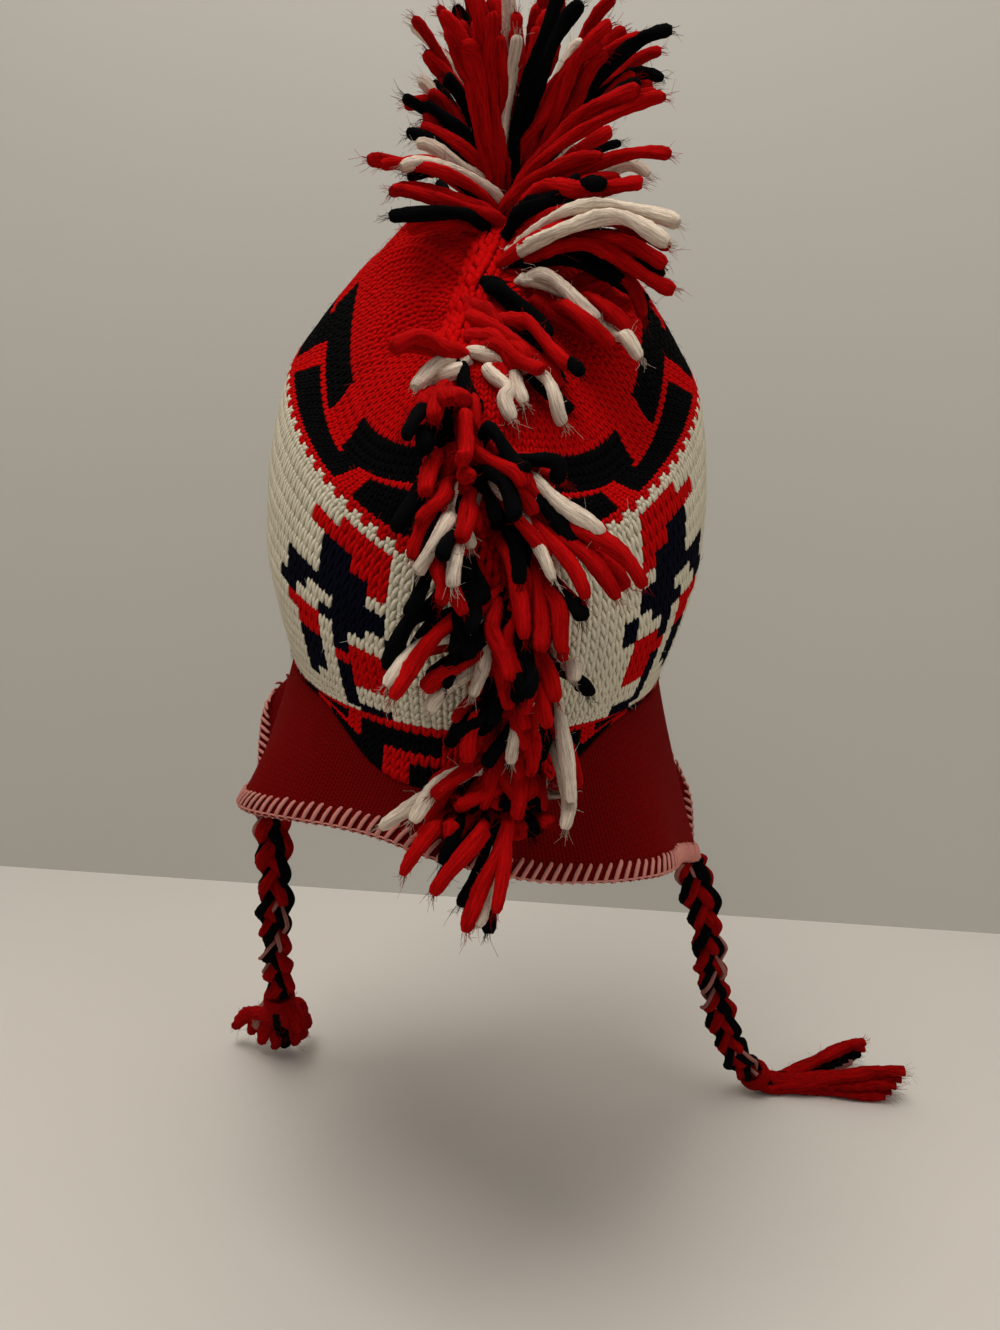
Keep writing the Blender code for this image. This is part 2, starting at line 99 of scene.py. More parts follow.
LEFT_EDGE = [
    # angle, reach, drop
    (0.0, 0.715, 0.430),
    (20.0, 0.718, 0.320),
    (45.0, 0.752, 0.345),
    (60.0, 0.765, 0.400),
    (75.0, 0.755, 0.480),
    (90.0, 0.760, 0.610),
    (105.0, 0.815, 0.800),
    (118.5, 0.940, 1.000),
    (121.5, 0.980, 0.215),
    (135.0, 0.870, 0.060),
    (157.5, 0.800, -0.350),
    (180.0, 0.780, -0.500),
]
RIGHT_EDGE = [
    # angle, reach, drop
    (0.0, 0.715, 0.430),
    (20.0, 0.718, 0.580),
    (45.0, 0.756, 0.590),
    (60.0, 0.768, 0.640),
    (75.0, 0.764, 0.750),
    (90.0, 0.782, 0.900),
    (105.0, 0.872, 1.080),
    (118.5, 1.034, 1.260),
    (121.5, 1.044, 0.780),
    (135.0, 0.900, 0.200),
    (157.5, 0.805, -0.300),
    (180.0, 0.780, -0.500),
]
CREST_LINE = [
    # angle, side, fall, left, right
    (-47.0, 0.50, 1.25, 26.0, -8.0),
    (-36.0, 0.64, 1.20, 28.0, 2.0),
    (-24.0, 0.70, 1.15, 30.0, 12.0),
    (-6.0, -0.10, 1.05, 28.0, 24.0),
    (16.0, -0.45, 0.95, 4.0, 34.0),
    (34.0, -0.78, 0.70, -12.0, 44.0),
    (58.0, -0.45, 0.35, -6.0, 54.0),
    (90.0, 0.00, 0.00, 20.0, 42.0),
    (112.0, 0.00, 0.00, 23.0, 34.0),
    (150.0, 0.00, 0.00, 20.0, 30.0),
]
LEFT_ROUTE = [
    (-0.1036, 0.0600, -0.2822),
    (-0.1033, 0.0600, -0.2980),
    (-0.1028, 0.0610, -0.3142),
    (-0.1022, 0.0630, -0.3296),
    (-0.1018, 0.0655, -0.3442),
    (-0.1016, 0.0690, -0.3589),
    (-0.1016, 0.0735, -0.3739),
    (-0.1018, 0.0790, -0.3878),
    (-0.1022, 0.0850, -0.4006),
]
RIGHT_ROUTE = [
    (0.1190, 0.0608, -0.2966),
    (0.1206, 0.0604, -0.3050),
    (0.1243, 0.0620, -0.3150),
    (0.1296, 0.0652, -0.3310),
    (0.1342, 0.0695, -0.3480),
    (0.1386, 0.0735, -0.3640),
    (0.1443, 0.0790, -0.3815),
    (0.1512, 0.0860, -0.4030),
    (0.1610, 0.0930, -0.4225),
    (0.1738, 0.0990, -0.4365),
]
ROUTE_STEPS = 3

# The wall stands this far behind the hat's middle
WALL_PLACE = 0.37

# The camera: where it stands, how far it looks down and how it is rolled
CAMERA_PLACE = Vector((0.0107, -0.4500, -0.1190))
CAMERA_PITCH = 9.0
CAMERA_ROLL = 3.9
PICTURE_WIDTH = 1000
PICTURE_HEIGHT = 1330
FOCAL_PIXELS = 1005.0
FILM_SIDE = 36.0

# The knit: columns all round, and the rows of each band with the levels they run between
COLUMNS = 140
BANDS = [
    # name, first level, last level, rows
    ("key", 4.30, 6.84, 11),
    ("zigzag", 6.84, 7.18, 2),
    ("figures", 7.18, 11.20, 17),
    ("blocks", 11.20, 12.00, 6),
]
LEVELS = 12.0
SEAM_LAP = 0.0022
CROWN_SECTORS = 7
KEY_REPEAT = 20
KEY_START = 33
FIGURE_REPEAT = 35
FIGURE_MIDDLE = -13.5
BLOCK_REPEAT = 11
# The crown: its first level, the spacing of its rows and of its stitches in metres, and how high its
# stitches stand as a share of the others
CROWN_TOP = 0.30
CROWN_ROW = 0.0034
CROWN_STITCH = 0.0040
CROWN_RISE = 0.62
# How deep the knit's ground lies under the hat's outer face, and how much thinner its wall is
GROUND_DEPTH = 0.0001
GROUND_EASE = 0.0002
# The share of stitches with a stray fibre, and the half widths of fibres along their length
FIBRE_SHARE = 0.45
KNIT_FIBRE = [0.00010, 0.00009, 0.00005]
STRAND_FIBRE = [0.00011, 0.00010, 0.00006]
# How far stray fibres stay above the floor
FLOOR_CLEAR = 0.0003
# How strongly wool blooms at grazing angles
BLOOM = 0.16

# One knitted figure, a row of text for each row of stitches, the nape's side at the left
FIGURE = [
    # r red, n navy, . ground
    "....rrrrr..........",
    "...rrrrrrrrrr......",
    "...rrrrrnnnn.......",
    "...rr.nnnnnn.......",
    "......nnnnnn.n.....",
    "...nn.nnnnnnnnn.n..",
    "...nnnnnnn.n.nnnnn.",
    ".nn...nnnnn.....nnn",
    "..n....nnn.rrrrrr..",
    "....rrrnnn.rrrrr...",
    "...rrrrrr...nnn....",
    "...rrrrrnn..nnn....",
    "....rrrnnn..nnnn...",
    ".......nnn....nn...",
    ".......nnn.........",
    "....nnnnn..........",
    "....nnnn...........",
]


def between(table, at):
    """The columns of a table at a place along its first column, on a smooth curve through its rows."""
    keys = [row[0] for row in table]
    last = len(table) - 1
    at = min(max(at, keys[0]), keys[last])
    i = max(k for k in range(last) if keys[k] <= at)
    share = (at - keys[i]) / (keys[i + 1] - keys[i])

    def slope(k, column):
        low, high = max(k - 1, 0), min(k + 1, last)
        steps = [
            (table[b][column] - table[a][column]) / (keys[b] - keys[a])
            for a, b in ((low, k), (k, high))
            if b > a
        ]
        if len(steps) == 2 and steps[0] * steps[1] <= 0.0:
            return 0.0
        return sum(steps) / len(steps)

    width = keys[i + 1] - keys[i]
    found = []
    for column in range(1, len(table[0])):
        a, b = table[i][column], table[i + 1][column]
        m, n = slope(i, column) * width, slope(i + 1, column) * width
        s, q = share, share * share
        c = q * share
        found.append(
            a * (2 * c - 3 * q + 1) + m * (c - 2 * q + s) + b * (3 * q - 2 * c) + n * (c - q)
        )
    return found


def around(values, turn):
    """A height round a ring from its values at 0, 60, 120 and 180 degrees."""
    nape, back_side, front_side, face = values
    mean = (nape + 2.0 * back_side + 2.0 * front_side + face) / 6.0
    first = (nape + back_side - front_side - face) / 3.0
    second = (nape - back_side - front_side + face) / 3.0
    third = (nape - 2.0 * back_side + 2.0 * front_side - face) / 6.0
    return mean + sum(
        wave * np.cos(turns * turn) for turns, wave in enumerate((first, second, third), start=1)
    )


def body_ring(level, angles):
    """Points of the body's outer face on the ring at a level from 0 to 1, one for each angle."""
    table = [(k / LEVELS, *row) for k, row in enumerate(BODY_SECTIONS)]
    back, front, width, *drops, dip, spread = between(table, level)
    turn = np.radians(angles)
    power = 4 if level > 0.94 else 2
    drop = around(drops, turn) + dip * np.exp(-((np.abs(angles) / spread) ** power))
    x = width * HAT_WIDTH / 2.0 * np.sin(turn) * (1.0 - FORWARD_SWELL * np.cos(turn))
    y = (back + (front - back) * (1.0 - np.cos(turn)) / 2.0) * HAT_DEPTH / 2.0
    z = KNIT_WALL - drop * BODY_HEIGHT
    fade = math.sin(math.pi * min(level / 0.40, 1.0)) ** 2
    off_crest = 1.0 - np.exp(-((np.sin(turn) / CREST_FLAT) ** 2))
    folds = GATHER_DEPTH * fade * off_crest * np.cos(GATHER_COUNT * turn)
    away = np.hypot(x, y) + 1e-9
    return np.stack((x + folds * x / away, y + folds * y / away, z), axis=-1)


def skirt_ring(share, angles):
    """Points of the skirt's outer face; share runs from 0 at the body to 1 at the edge."""
    top = body_ring(1.0, angles)
    nape = body_ring(1.0, np.zeros(1))[0, 2]
    top[:, 2] -= SEAM_GAP
    turn = np.radians(angles)
    cut = np.array([between(LEFT_EDGE if a < 0.0 else RIGHT_EDGE, abs(a)) for a in angles])
    edge = np.stack(
        (
            cut[:, 0] * FLAP_REACH * np.sin(turn),
            -cut[:, 0] * FLAP_REACH * np.cos(turn),
            nape - SEAM_GAP - cut[:, 1] * SKIRT_DROP,
        ),
        axis=-1,
    )
    place = top + (edge - top) * share
    bow = share**FLARE_CURVE - share
    place[:, :2] += (edge - top)[:, :2] * bow
    flute = FLUTE_DEPTH * share * np.cos(FLUTE_COUNT * turn + FLUTE_TURN)
    away = np.hypot(place[:, 0], place[:, 1])
    place[:, 0] += flute * place[:, 0] / away
    place[:, 1] += flute * place[:, 1] / away
    return place


def running(points):
    """How far along a line each of its points lies."""
    steps = np.linalg.norm(np.diff(points, axis=0), axis=1)
    return np.concatenate(([0.0], np.cumsum(steps)))


def sampled(wanted, run, values):
    """Rows of three values at wanted places of the run that they lie along."""
    return np.stack([np.interp(wanted, run, values[:, k]) for k in range(3)], axis=-1)


def line_length(points):
    return float(np.linalg.norm(np.diff(np.asarray(points), axis=0), axis=1).sum())


def column_angles(count, level=7.0):
    """Angles from the nape of columns that are equally wide along the ring at a level."""
    fine = np.linspace(-180.0, 180.0, 1441)
    run = running(body_ring(level / LEVELS, fine))
    middle = np.interp(0.0, fine, run)
    places = middle + np.arange(count + 1) * run[-1] / count
    return np.interp(places % run[-1], run, fine)


def linear(code):
    """An sRGB hex colour as linear red, green and blue."""
    parts = [int(code[k : k + 2], 16) / 255.0 for k in (1, 3, 5)]
    return tuple(p / 12.92 if p <= 0.04045 else ((p + 0.055) / 1.055) ** 2.4 for p in parts)


def colour_property(label, code, description):
    return FloatVectorProperty(
        name=label, description=description, subtype="COLOR", min=0, max=1, default=linear(code)
    )


def length_property(label, default, least, most, description):
    return FloatProperty(
        name=label, description=description, default=default, min=least, max=most,
        subtype="DISTANCE", unit="LENGTH",
    )


class HatYarns(PropertyGroup):
    """The yarns' colours."""

    red: colour_property("Red", "#C00708", "Body's red yarn")
    deep_red: colour_property("Deep red", "#620404", "Skirt's finer yarn")
    crest_red: colour_property("Crest red", "#AE0A0B", "Soft crest yarn")
    black: colour_property("Black", "#070708", "Black yarn")
    navy: colour_property("Navy", "#070917", "Dark blue yarn of the figures")
    white: colour_property("Off-white", "#DAD2BC", "Body's white yarn")
    crest_white: colour_property("Crest white", "#F0CDBB", "White crest yarn")
    edge_pink: colour_property("Edge thread", "#C8847A", "Thread of the blanket stitches")


class HatSizes(PropertyGroup):
    """Sizes of stitches and strands."""

    leg_width: FloatProperty(
        name="Stitch leg", description="Width of a stitch's leg as a share of the stitch",
        default=0.47, min=0.2, max=0.7,
    )
    stitch_rise: length_property(
        "Stitch rise", 0.0014, 0.0005, 0.003, "How far the knit's legs stand up"
    )
    strand_width: length_property("Strand width", 0.0060, 0.004, 0.012, "Width of a crest strand")
    edge_stitch: length_property(
        "Edge stitch", 0.0042, 0.002, 0.01, "Spacing of the blanket stitches"
    )
    seed: IntProperty(name="Seed", description="Seed of everything uneven", default=11, min=0)


class HatStage(PropertyGroup):
    """The floor, the wall and the light."""

    floor_colour: colour_property("Floor", "#D2CEC8", "Colour of the floor")
    wall_colour: colour_property("Wall", "#C0BEB8", "Colour of the wall")
    light: FloatProperty(
        name="Light", description="Strength of the main light", default=13.0, min=0.0, unit="POWER"
    )


def add_node(tree, kind, links=(), **settings):
    """A node with its settings and its inputs' values or links."""
    node = tree.nodes.new(kind)
    for name, value in settings.items():
        setattr(node, name, value)
    for socket, value in dict(links).items():
        if isinstance(value, bpy.types.NodeSocket):
            tree.links.new(value, node.inputs[socket])
        else:
            node.inputs[socket].default_value = value
    return node


def result(tree, kind, links=(), **settings):
    """The first output of a new node."""
    return add_node(tree, kind, links, **settings).outputs[0]


def maths(tree, operation, *values):
    """The outcome of a Math node on values or links."""
    return result(tree, "ShaderNodeMath", dict(enumerate(values)), operation=operation)


def noise(tree, place, scale, detail=3.0, roughness=0.5):
    """Noise from 0 to 1 at a place."""
    links = {"Vector": place, "Scale": scale, "Detail": detail, "Roughness": roughness}
    return add_node(tree, "ShaderNodeTexNoise", links).outputs["Fac"]


def ranged(tree, value, **ends):
    """A value moved from one range to another; ends are the node's sockets, such as from_min."""
    links = {name.replace("_", " ").title(): end for name, end in ends.items()}
    return result(tree, "ShaderNodeMapRange", {"Value": value, **links})


def texture_place(tree, output="Object"):
    return add_node(tree, "ShaderNodeTexCoord").outputs[output]


def stored(tree, name, output="Fac"):
    """An attribute that the mesh carries."""
    return add_node(tree, "ShaderNodeAttribute", attribute_name=name).outputs[output]


def new_material(name):
    material = bpy.data.materials.new(name)
    material.use_nodes = True
    return material, material.node_tree, material.node_tree.nodes["Principled BSDF"]


def shade(tree, colour, factor, dark, light):
    """A colour that a pattern darkens and lightens; dark and light are shares of its brightness."""
    low, high = (tuple(min(c * share, 1.0) for c in colour) for share in (dark, light))
    links = {0: factor, 6: (*low, 1.0), 7: (*high, 1.0)}
    return add_node(tree, "ShaderNodeMix", links, data_type="RGBA").outputs[2]


def cover(tree, shader, colour, height, strength, distance):
    """Gives a surface its colour and the relief of a height."""
    links = {"Height": height, "Strength": strength, "Distance": distance}
    tree.links.new(result(tree, "ShaderNodeBump", links), shader.inputs["Normal"])
    tree.links.new(colour, shader.inputs["Base Color"])


def soft_face(shader, colour, sheen):
    """A matt woolly surface whose bloom keeps the yarn's own hue."""
    most = max(colour)
    shader.inputs["Roughness"].default_value = 0.95
    shader.inputs["Specular IOR Level"].default_value = 0.03
    shader.inputs["Sheen Weight"].default_value = sheen
    shader.inputs["Sheen Roughness"].default_value = 0.5
    shader.inputs["Sheen Tint"].default_value = (*(c / most for c in colour), 1.0)


def spun_wool(name, colour, sheen=BLOOM):
    """Plied wool of the knit: matt, with a soft bloom at grazing angles and short fibres."""
    material, tree, shader = new_material(name)
    place = texture_place(tree)
    # fibres about 0.8 mm long, drawn coarser than real ones so that they show
    fibres = noise(tree, place, scale=1250.0, roughness=0.7)
    # dye and light wear change over about 20 mm
    broad = noise(tree, place, scale=48.0, detail=2.0)
    both = maths(tree, "MULTIPLY_ADD", broad, 0.4, maths(tree, "MULTIPLY", fibres, 0.6))
    coloured = shade(tree, colour, both, dark=0.62, light=1.32)
    cover(tree, shader, coloured, fibres, strength=0.55, distance=0.0006)
    soft_face(shader, colour, sheen)
    return material


def soft_roving(name, colour, sheen=BLOOM):
    """Thick, hardly spun yarn of the crest and ties: long fibres that lie along the strand."""
    material, tree, shader = new_material(name)
    ring, run, tint = stored(tree, "around", "Vector"), stored(tree, "along"), stored(tree, "tint")
    # the fibres wind slowly round the strand, once in about 60 mm
    links = {"Vector": ring, "Angle": maths(tree, "MULTIPLY", run, 105.0)}
    turned = result(tree, "ShaderNodeVectorRotate", links, rotation_type="Z_AXIS")
    length = maths(tree, "MULTIPLY_ADD", run, 30.0, tint)
    place = result(tree, "ShaderNodeCombineXYZ", {2: length})
    place = result(tree, "ShaderNodeVectorMath", {0: turned, 1: place}, operation="ADD")
    fibres = noise(tree, place, scale=3.4, detail=4.0, roughness=0.72)
    # each strand is a little lighter or darker than the next
    even = maths(tree, "FRACT", tint)
    clear = ranged(tree, fibres, from_min=0.30, from_max=0.74)
    both = maths(tree, "MULTIPLY_ADD", even, 0.22, clear)
    coloured = shade(tree, colour, both, dark=0.36, light=1.42)
    cover(tree, shader, coloured, fibres, strength=0.7, distance=0.0012)
    soft_face(shader, colour, sheen)
    return material


def ground_knit(name):
    """The knit's ground between its stitches: wool in the chart's colours, darkened by painted shade
    and mottled by its fibres.
    """
    material, tree, shader = new_material(name)
    dye = stored(tree, "dye", "Color")
    fibres = noise(tree, texture_place(tree), scale=900.0)
    # painted shade: the ground between the stitches is darkened to 0.62 to 0.98 of its chart colour,
    # unevenly with its fibres
    deep = ranged(tree, fibres, to_min=0.62, to_max=0.98)
    coloured = result(tree, "ShaderNodeVectorMath", {0: dye, "Scale": deep}, operation="SCALE")
    cover(tree, shader, coloured, fibres, strength=0.5, distance=0.0006)
    shader.inputs["Roughness"].default_value = 0.95
    shader.inputs["Specular IOR Level"].default_value = 0.05
    return material


def fine_knit(name, colour):
    """Fine machine knit of the skirt: small flat stitches in faint upright ribs.
    The UV map counts stitches: one unit across is a column, one unit up is a row."""
    material, tree, shader = new_material(name)
    parts = add_node(tree, "ShaderNodeSeparateXYZ", {0: texture_place(tree, "UV")}).outputs
    middle = maths(tree, "SUBTRACT", maths(tree, "FRACT", parts[0]), 0.5)
    off = maths(tree, "ABSOLUTE", middle)
    # each row's legs slant down on both sides of the column's middle
    slanted = maths(tree, "MULTIPLY_ADD", off, -1.1, parts[1])
    rows = maths(tree, "SINE", maths(tree, "MULTIPLY", slanted, 2.0 * math.pi))
    legs = maths(tree, "SINE", maths(tree, "MULTIPLY", off, 2.0 * math.pi))
    height = maths(tree, "MULTIPLY_ADD", rows, 0.22, maths(tree, "POWER", legs, 0.5))
    fibres = noise(tree, texture_place(tree), scale=1300.0)
    height = maths(tree, "MULTIPLY_ADD", fibres, 0.45, height)
    # painted shade and light: the colour follows the stitches' relief, down to half its brightness in
    # the valleys between legs and rows and brighter on their tops
    factor = ranged(tree, height, from_min=0.0, from_max=1.5)
    coloured = shade(tree, colour, factor, dark=0.50, light=1.28)
    cover(tree, shader, coloured, height, strength=0.6, distance=0.0008)
    soft_face(shader, colour, sheen=0.10)
    return material


def matt_board(name, colour, one_sided):
    """Plain matt painted board of the stage: even, with the faintest mottling. A one-sided board
    can't be seen from behind, so that it hides nothing from a viewer who walks round."""
    material, tree, shader = new_material(name)
    mottle = noise(tree, texture_place(tree), scale=2.2)
    painted = shade(tree, colour, mottle, dark=0.97, light=1.03)
    tree.links.new(painted, shader.inputs["Base Color"])
    shader.inputs["Roughness"].default_value = 0.6
    if one_sided:
        behind = add_node(tree, "ShaderNodeNewGeometry").outputs["Backfacing"]
        clear = result(tree, "ShaderNodeBsdfTransparent")
        mixed = result(tree, "ShaderNodeMixShader", {0: behind, 1: shader.outputs[0], 2: clear})
        tree.links.new(mixed, tree.nodes["Material Output"].inputs[0])
    return material


def new_tree(name, inputs):
    """A Geometry Nodes tree with named inputs."""
    tree = bpy.data.node_groups.new(name, "GeometryNodeTree")
    tree.interface.new_socket("Geometry", in_out="OUTPUT", socket_type="NodeSocketGeometry")
    tree.interface.new_socket("Geometry", in_out="INPUT", socket_type="NodeSocketGeometry")
    for label, kind, value in inputs:
        socket = tree.interface.new_socket(label, in_out="INPUT", socket_type="NodeSocket" + kind)
        if value is not None:
            socket.default_value = value
    return tree, tree.nodes.new("NodeGroupInput").outputs


def finish_tree(tree, geometry, material):
    """Makes a tree's instances real, gives them their material and hands them out."""
    real = result(tree, "GeometryNodeRealizeInstances", {0: geometry})
    coloured = result(tree, "GeometryNodeSetMaterial", {"Geometry": real, "Material": material})
    tree.links.new(coloured, tree.nodes.new("NodeGroupOutput").inputs[0])


def named(tree, name, kind="FLOAT_VECTOR"):
    """An attribute of the geometry that a tree works on."""
    node = add_node(tree, "GeometryNodeInputNamedAttribute", {"Name": name}, data_type=kind)
    return node.outputs["Attribute"]


def stitches_tree():
    """Sets one stitch on every place, turned and sized by the places' own attributes."""
    inputs = [
        ("Stitch", "Object", None), ("Width", "Float", 1.0), ("Height", "Float", 1.0),
        ("Rise", "Float", 1.0), ("Unevenness", "Float", 0.08), ("Seed", "Int", 0),
        ("Yarn", "Material", None),
    ]
    tree, given = new_tree("Stitches on places", inputs)
    shape = add_node(tree, "GeometryNodeObjectInfo", {"Object": given["Stitch"]})
    turn = result(
        tree, "FunctionNodeAxesToRotation", {0: named(tree, "outward"), 1: named(tree, "across")},
        primary_axis="Z", secondary_axis="X",
    )
    factors = {0: given["Width"], 1: given["Height"], 2: given["Rise"]}
    links = {0: named(tree, "size"), 1: result(tree, "ShaderNodeCombineXYZ", factors)}
    size = result(tree, "ShaderNodeVectorMath", links, operation="MULTIPLY")
    least = maths(tree, "SUBTRACT", 1.0, given["Unevenness"])
    most = maths(tree, "ADD", 1.0, given["Unevenness"])
    links = {2: least, 3: most, "Seed": given["Seed"]}
    chance = add_node(tree, "FunctionNodeRandomValue", links, data_type="FLOAT").outputs[1]
    size = result(tree, "ShaderNodeVectorMath", {0: size, "Scale": chance}, operation="SCALE")
    links = {"Points": given["Geometry"], "Instance": shape.outputs["Geometry"]}
    links |= {"Rotation": turn, "Scale": size}
    finish_tree(tree, result(tree, "GeometryNodeInstanceOnPoints", links), given["Yarn"])
    return tree


def strands_tree():
    """Draws yarn along lines; the lines' attribute thick gives its half width at each point."""
    inputs = [
        ("Sides", "Int", 10), ("Thickness", "Float", 1.0), ("Lumps", "Float", 0.12),
        ("Lump size", "Float", 0.007), ("Flatness", "Float", 0.80), ("Turns", "Float", 110.0),
        ("Yarn", "Material", None),
    ]
    tree, given = new_tree("Yarn along lines", inputs)
    store = "GeometryNodeStoreNamedAttribute"
    line = result(tree, "GeometryNodeMeshToCurve", {0: given["Geometry"]})
    run = add_node(tree, "GeometryNodeSplineParameter").outputs["Length"]
    links = {"Geometry": line, "Name": "along", "Value": run}
    line = result(tree, store, links, data_type="FLOAT", domain="POINT")
    fine = maths(tree, "DIVIDE", 1.0, given["Lump size"])
    lumps = result(tree, "ShaderNodeTexNoise", {"Scale": fine, "Detail": 1.0})
    swell = maths(tree, "MULTIPLY_ADD", maths(tree, "SUBTRACT", lumps, 0.5), given["Lumps"], 1.0)
    thick = maths(tree, "MULTIPLY", named(tree, "thick", "FLOAT"), given["Thickness"])
    radius = maths(tree, "MULTIPLY", thick, swell)
    line = result(tree, "GeometryNodeSetCurveRadius", {"Curve": line, "Radius": radius})
    wound = maths(tree, "MULTIPLY", run, given["Turns"])
    line = result(tree, "GeometryNodeSetCurveTilt", {"Curve": line, "Tilt": wound})
    links = {"Resolution": given["Sides"], "Radius": 1.0}
    ring = result(tree, "GeometryNodeCurvePrimitiveCircle", links)
    place = result(tree, "GeometryNodeInputPosition")
    links = {"Geometry": ring, "Name": "around", "Value": place}
    ring = result(tree, store, links, data_type="FLOAT_VECTOR", domain="POINT")
    thin = result(tree, "ShaderNodeCombineXYZ", {0: 1.0, 1: given["Flatness"], 2: 1.0})
    ring = result(tree, "GeometryNodeTransform", {"Geometry": ring, "Scale": thin})
    links = {"Curve": line, "Profile Curve": ring, "Fill Caps": True}
    tube = add_node(tree, "GeometryNodeCurveToMesh", links)
    if "Scale" in tube.inputs:
        tree.links.new(result(tree, "GeometryNodeInputRadius"), tube.inputs["Scale"])
    smooth = result(tree, "GeometryNodeSetShadeSmooth", {0: tube.outputs[0]})
    finish_tree(tree, smooth, given["Yarn"])
    return tree


def add_piece(name, mesh, material=None):
    made = bpy.data.objects.new(name, mesh)
    bpy.context.scene.collection.objects.link(made)
    if material is not None:
        mesh.materials.append(material)
    return made


def grow(name, mesh, tree, values):
    """The object that a tree makes from a mesh, as a plain mesh; values are its named inputs."""
    made = add_piece(name, mesh)
    modifier = made.modifiers.new("grow", "NODES")
    modifier.node_group = tree
    for item in tree.interface.items_tree:
        if item.in_out == "INPUT" and item.name in values:
            modifier[item.identifier] = values[item.name]
    bpy.context.view_layer.update()
    graph = bpy.context.evaluated_depsgraph_get()
    grown = bpy.data.meshes.new_from_object(made.evaluated_get(graph))
    made.modifiers.remove(modifier)
    made.data = grown
    grown.name = name
    return made


def attribute(mesh, name, kind, values, domain="POINT"):
    """Writes values into a new attribute of a mesh."""
    field = {"FLOAT": "value", "FLOAT_VECTOR": "vector", "FLOAT_COLOR": "color"}[kind]
    stored_values = np.asarray(values, dtype=np.float32).ravel()
    mesh.attributes.new(name, kind, domain).data.foreach_set(field, stored_values)


def mesh_of(name, points, edges, faces):
    mesh = bpy.data.meshes.new(name)
    mesh.from_pydata([tuple(p) for p in points], edges, faces)
    return mesh


def places_mesh(name, places, across, outward, size):
    """A mesh of loose points that a stitches tree reads."""
    mesh = mesh_of(name, places, [], [])
    attribute(mesh, "across", "FLOAT_VECTOR", across)
    attribute(mesh, "outward", "FLOAT_VECTOR", outward)
    attribute(mesh, "size", "FLOAT_VECTOR", size)
    return mesh


def lines_mesh(name, lines):
    """A mesh of lines that a strands tree reads. Each line is (points, half widths, tint)."""
    points, edges, thick, tints = [], [], [], []
    for line, widths, tint in lines:
        first = len(points)
        points += list(line)
        edges += [(first + k, first + k + 1) for k in range(len(line) - 1)]
        thick += list(widths)
        tints += [tint] * len(line)
    mesh = mesh_of(name, points, edges, [])
    attribute(mesh, "thick", "FLOAT", thick)
    attribute(mesh, "tint", "FLOAT", tints)
    return mesh


def unit(vectors):
    return vectors / np.maximum(np.linalg.norm(vectors, axis=-1, keepdims=True), 1e-12)


def tube_faces(rings, sides, first):
    """Faces of a tube of rings with a tip point before the first ring and after the last."""
    faces = []
    last = first + 1 + (rings - 1) * sides
    end = last + sides
    for k in range(sides):
        after = (k + 1) % sides
        faces.append((first, first + 1 + after, first + 1 + k))
        faces.append((end, last + k, last + after))
    for a in range(first + 1, last, sides):
        for k in range(sides):
            after = (k + 1) % sides
            faces.append((a + k, a + after, a + sides + after, a + sides + k))
    return faces


def stitch_shape(name, legs, sides):
    """A small shape to repeat: each leg is a row of points (x, y, z, half width, half rise)."""
    # how far a leg's tips stand past its first and last ring, in half widths
    tip = 0.6
    points, faces = [], []
    for leg in legs:
        path = np.array([row[:3] for row in leg])
        first = len(points)
        along = unit(np.gradient(path, axis=0))
        points.append(path[0] - along[0] * leg[0][3] * tip)
        for centre, (*_, wide, rise), ahead in zip(path, leg, along):
            beside = unit(np.cross(ahead, (0.0, 0.0, 1.0)) + (0.0, 0.0, 1e-9))
            above = np.cross(beside, ahead)
            for k in range(sides):
                turn = 2.0 * math.pi * (k + 0.5) / sides
                points.append(
                    centre + beside * math.cos(turn) * wide + above * math.sin(turn) * rise
                )
        points.append(path[-1] + along[-1] * leg[-1][3] * tip)
        faces += tube_faces(len(leg), sides, first)
    mesh = mesh_of(name, points, [], faces)
    mesh.shade_smooth()
    return add_piece(name, mesh)


def grid_faces(rows, columns, first=0):
    """Quads between rows of points that run round; faces look outwards when the rows run down."""
    faces = []
    for r in range(rows - 1):
        for c in range(columns):
            a = first + r * columns + c
            b = first + r * columns + (c + 1) % columns
            faces.append((a, a + columns, b + columns, b))
    return faces


def ring_frames(rings):
    """Up and outward directions at every point of rings that run down the hat."""
    across = unit(np.roll(rings, -1, axis=1) - np.roll(rings, 1, axis=1))
    up = unit(-np.gradient(rings, axis=0))
    return up, unit(np.cross(across, up))


# Shapes that the stitches repeat, in shares of a stitch: x across, y up, z out of the knit.
# Each leg is a row of (x, y, z, half width, half rise).
KNIT_LEG = [
    (0.05, -0.66, 0.00, 0.14, 0.22),
    (0.16, -0.28, 0.24, 0.295, 0.36),
    (0.27, 0.20, 0.27, 0.295, 0.38),
    (0.33, 0.62, 0.03, 0.17, 0.26),
]
# The blanket stitch, in millimetres: over the edge, up the outer face and along the edge
EDGE_BAR = [
    (3.0, 6.6, 0.1, 0.6, 0.5),
    (2.5, 5.6, 0.7, 0.85, 0.6),
    (1.1, 2.8, 0.9, 0.95, 0.6),
    (0.1, 0.2, 0.8, 0.85, 0.6),
    (0.0, -0.9, -0.6, 0.7, 0.7),
    (0.0, -1.1, -2.6, 0.7, 0.7),
    (0.6, 0.4, -4.6, 0.7, 0.6),
    (1.6, 3.0, -4.9, 0.6, 0.5),
]
EDGE_LOOP = [
    (-2.3, -0.25, 0.0, 0.3, 0.3),
    (-1.0, -0.40, 0.3, 0.42, 0.42),
    (1.0, -0.40, 0.3, 0.42, 0.42),
    (2.3, -0.25, 0.0, 0.3, 0.3),
]


def mirrored(leg):
    return [(-x, y, z, wide, rise) for x, y, z, wide, rise in leg]


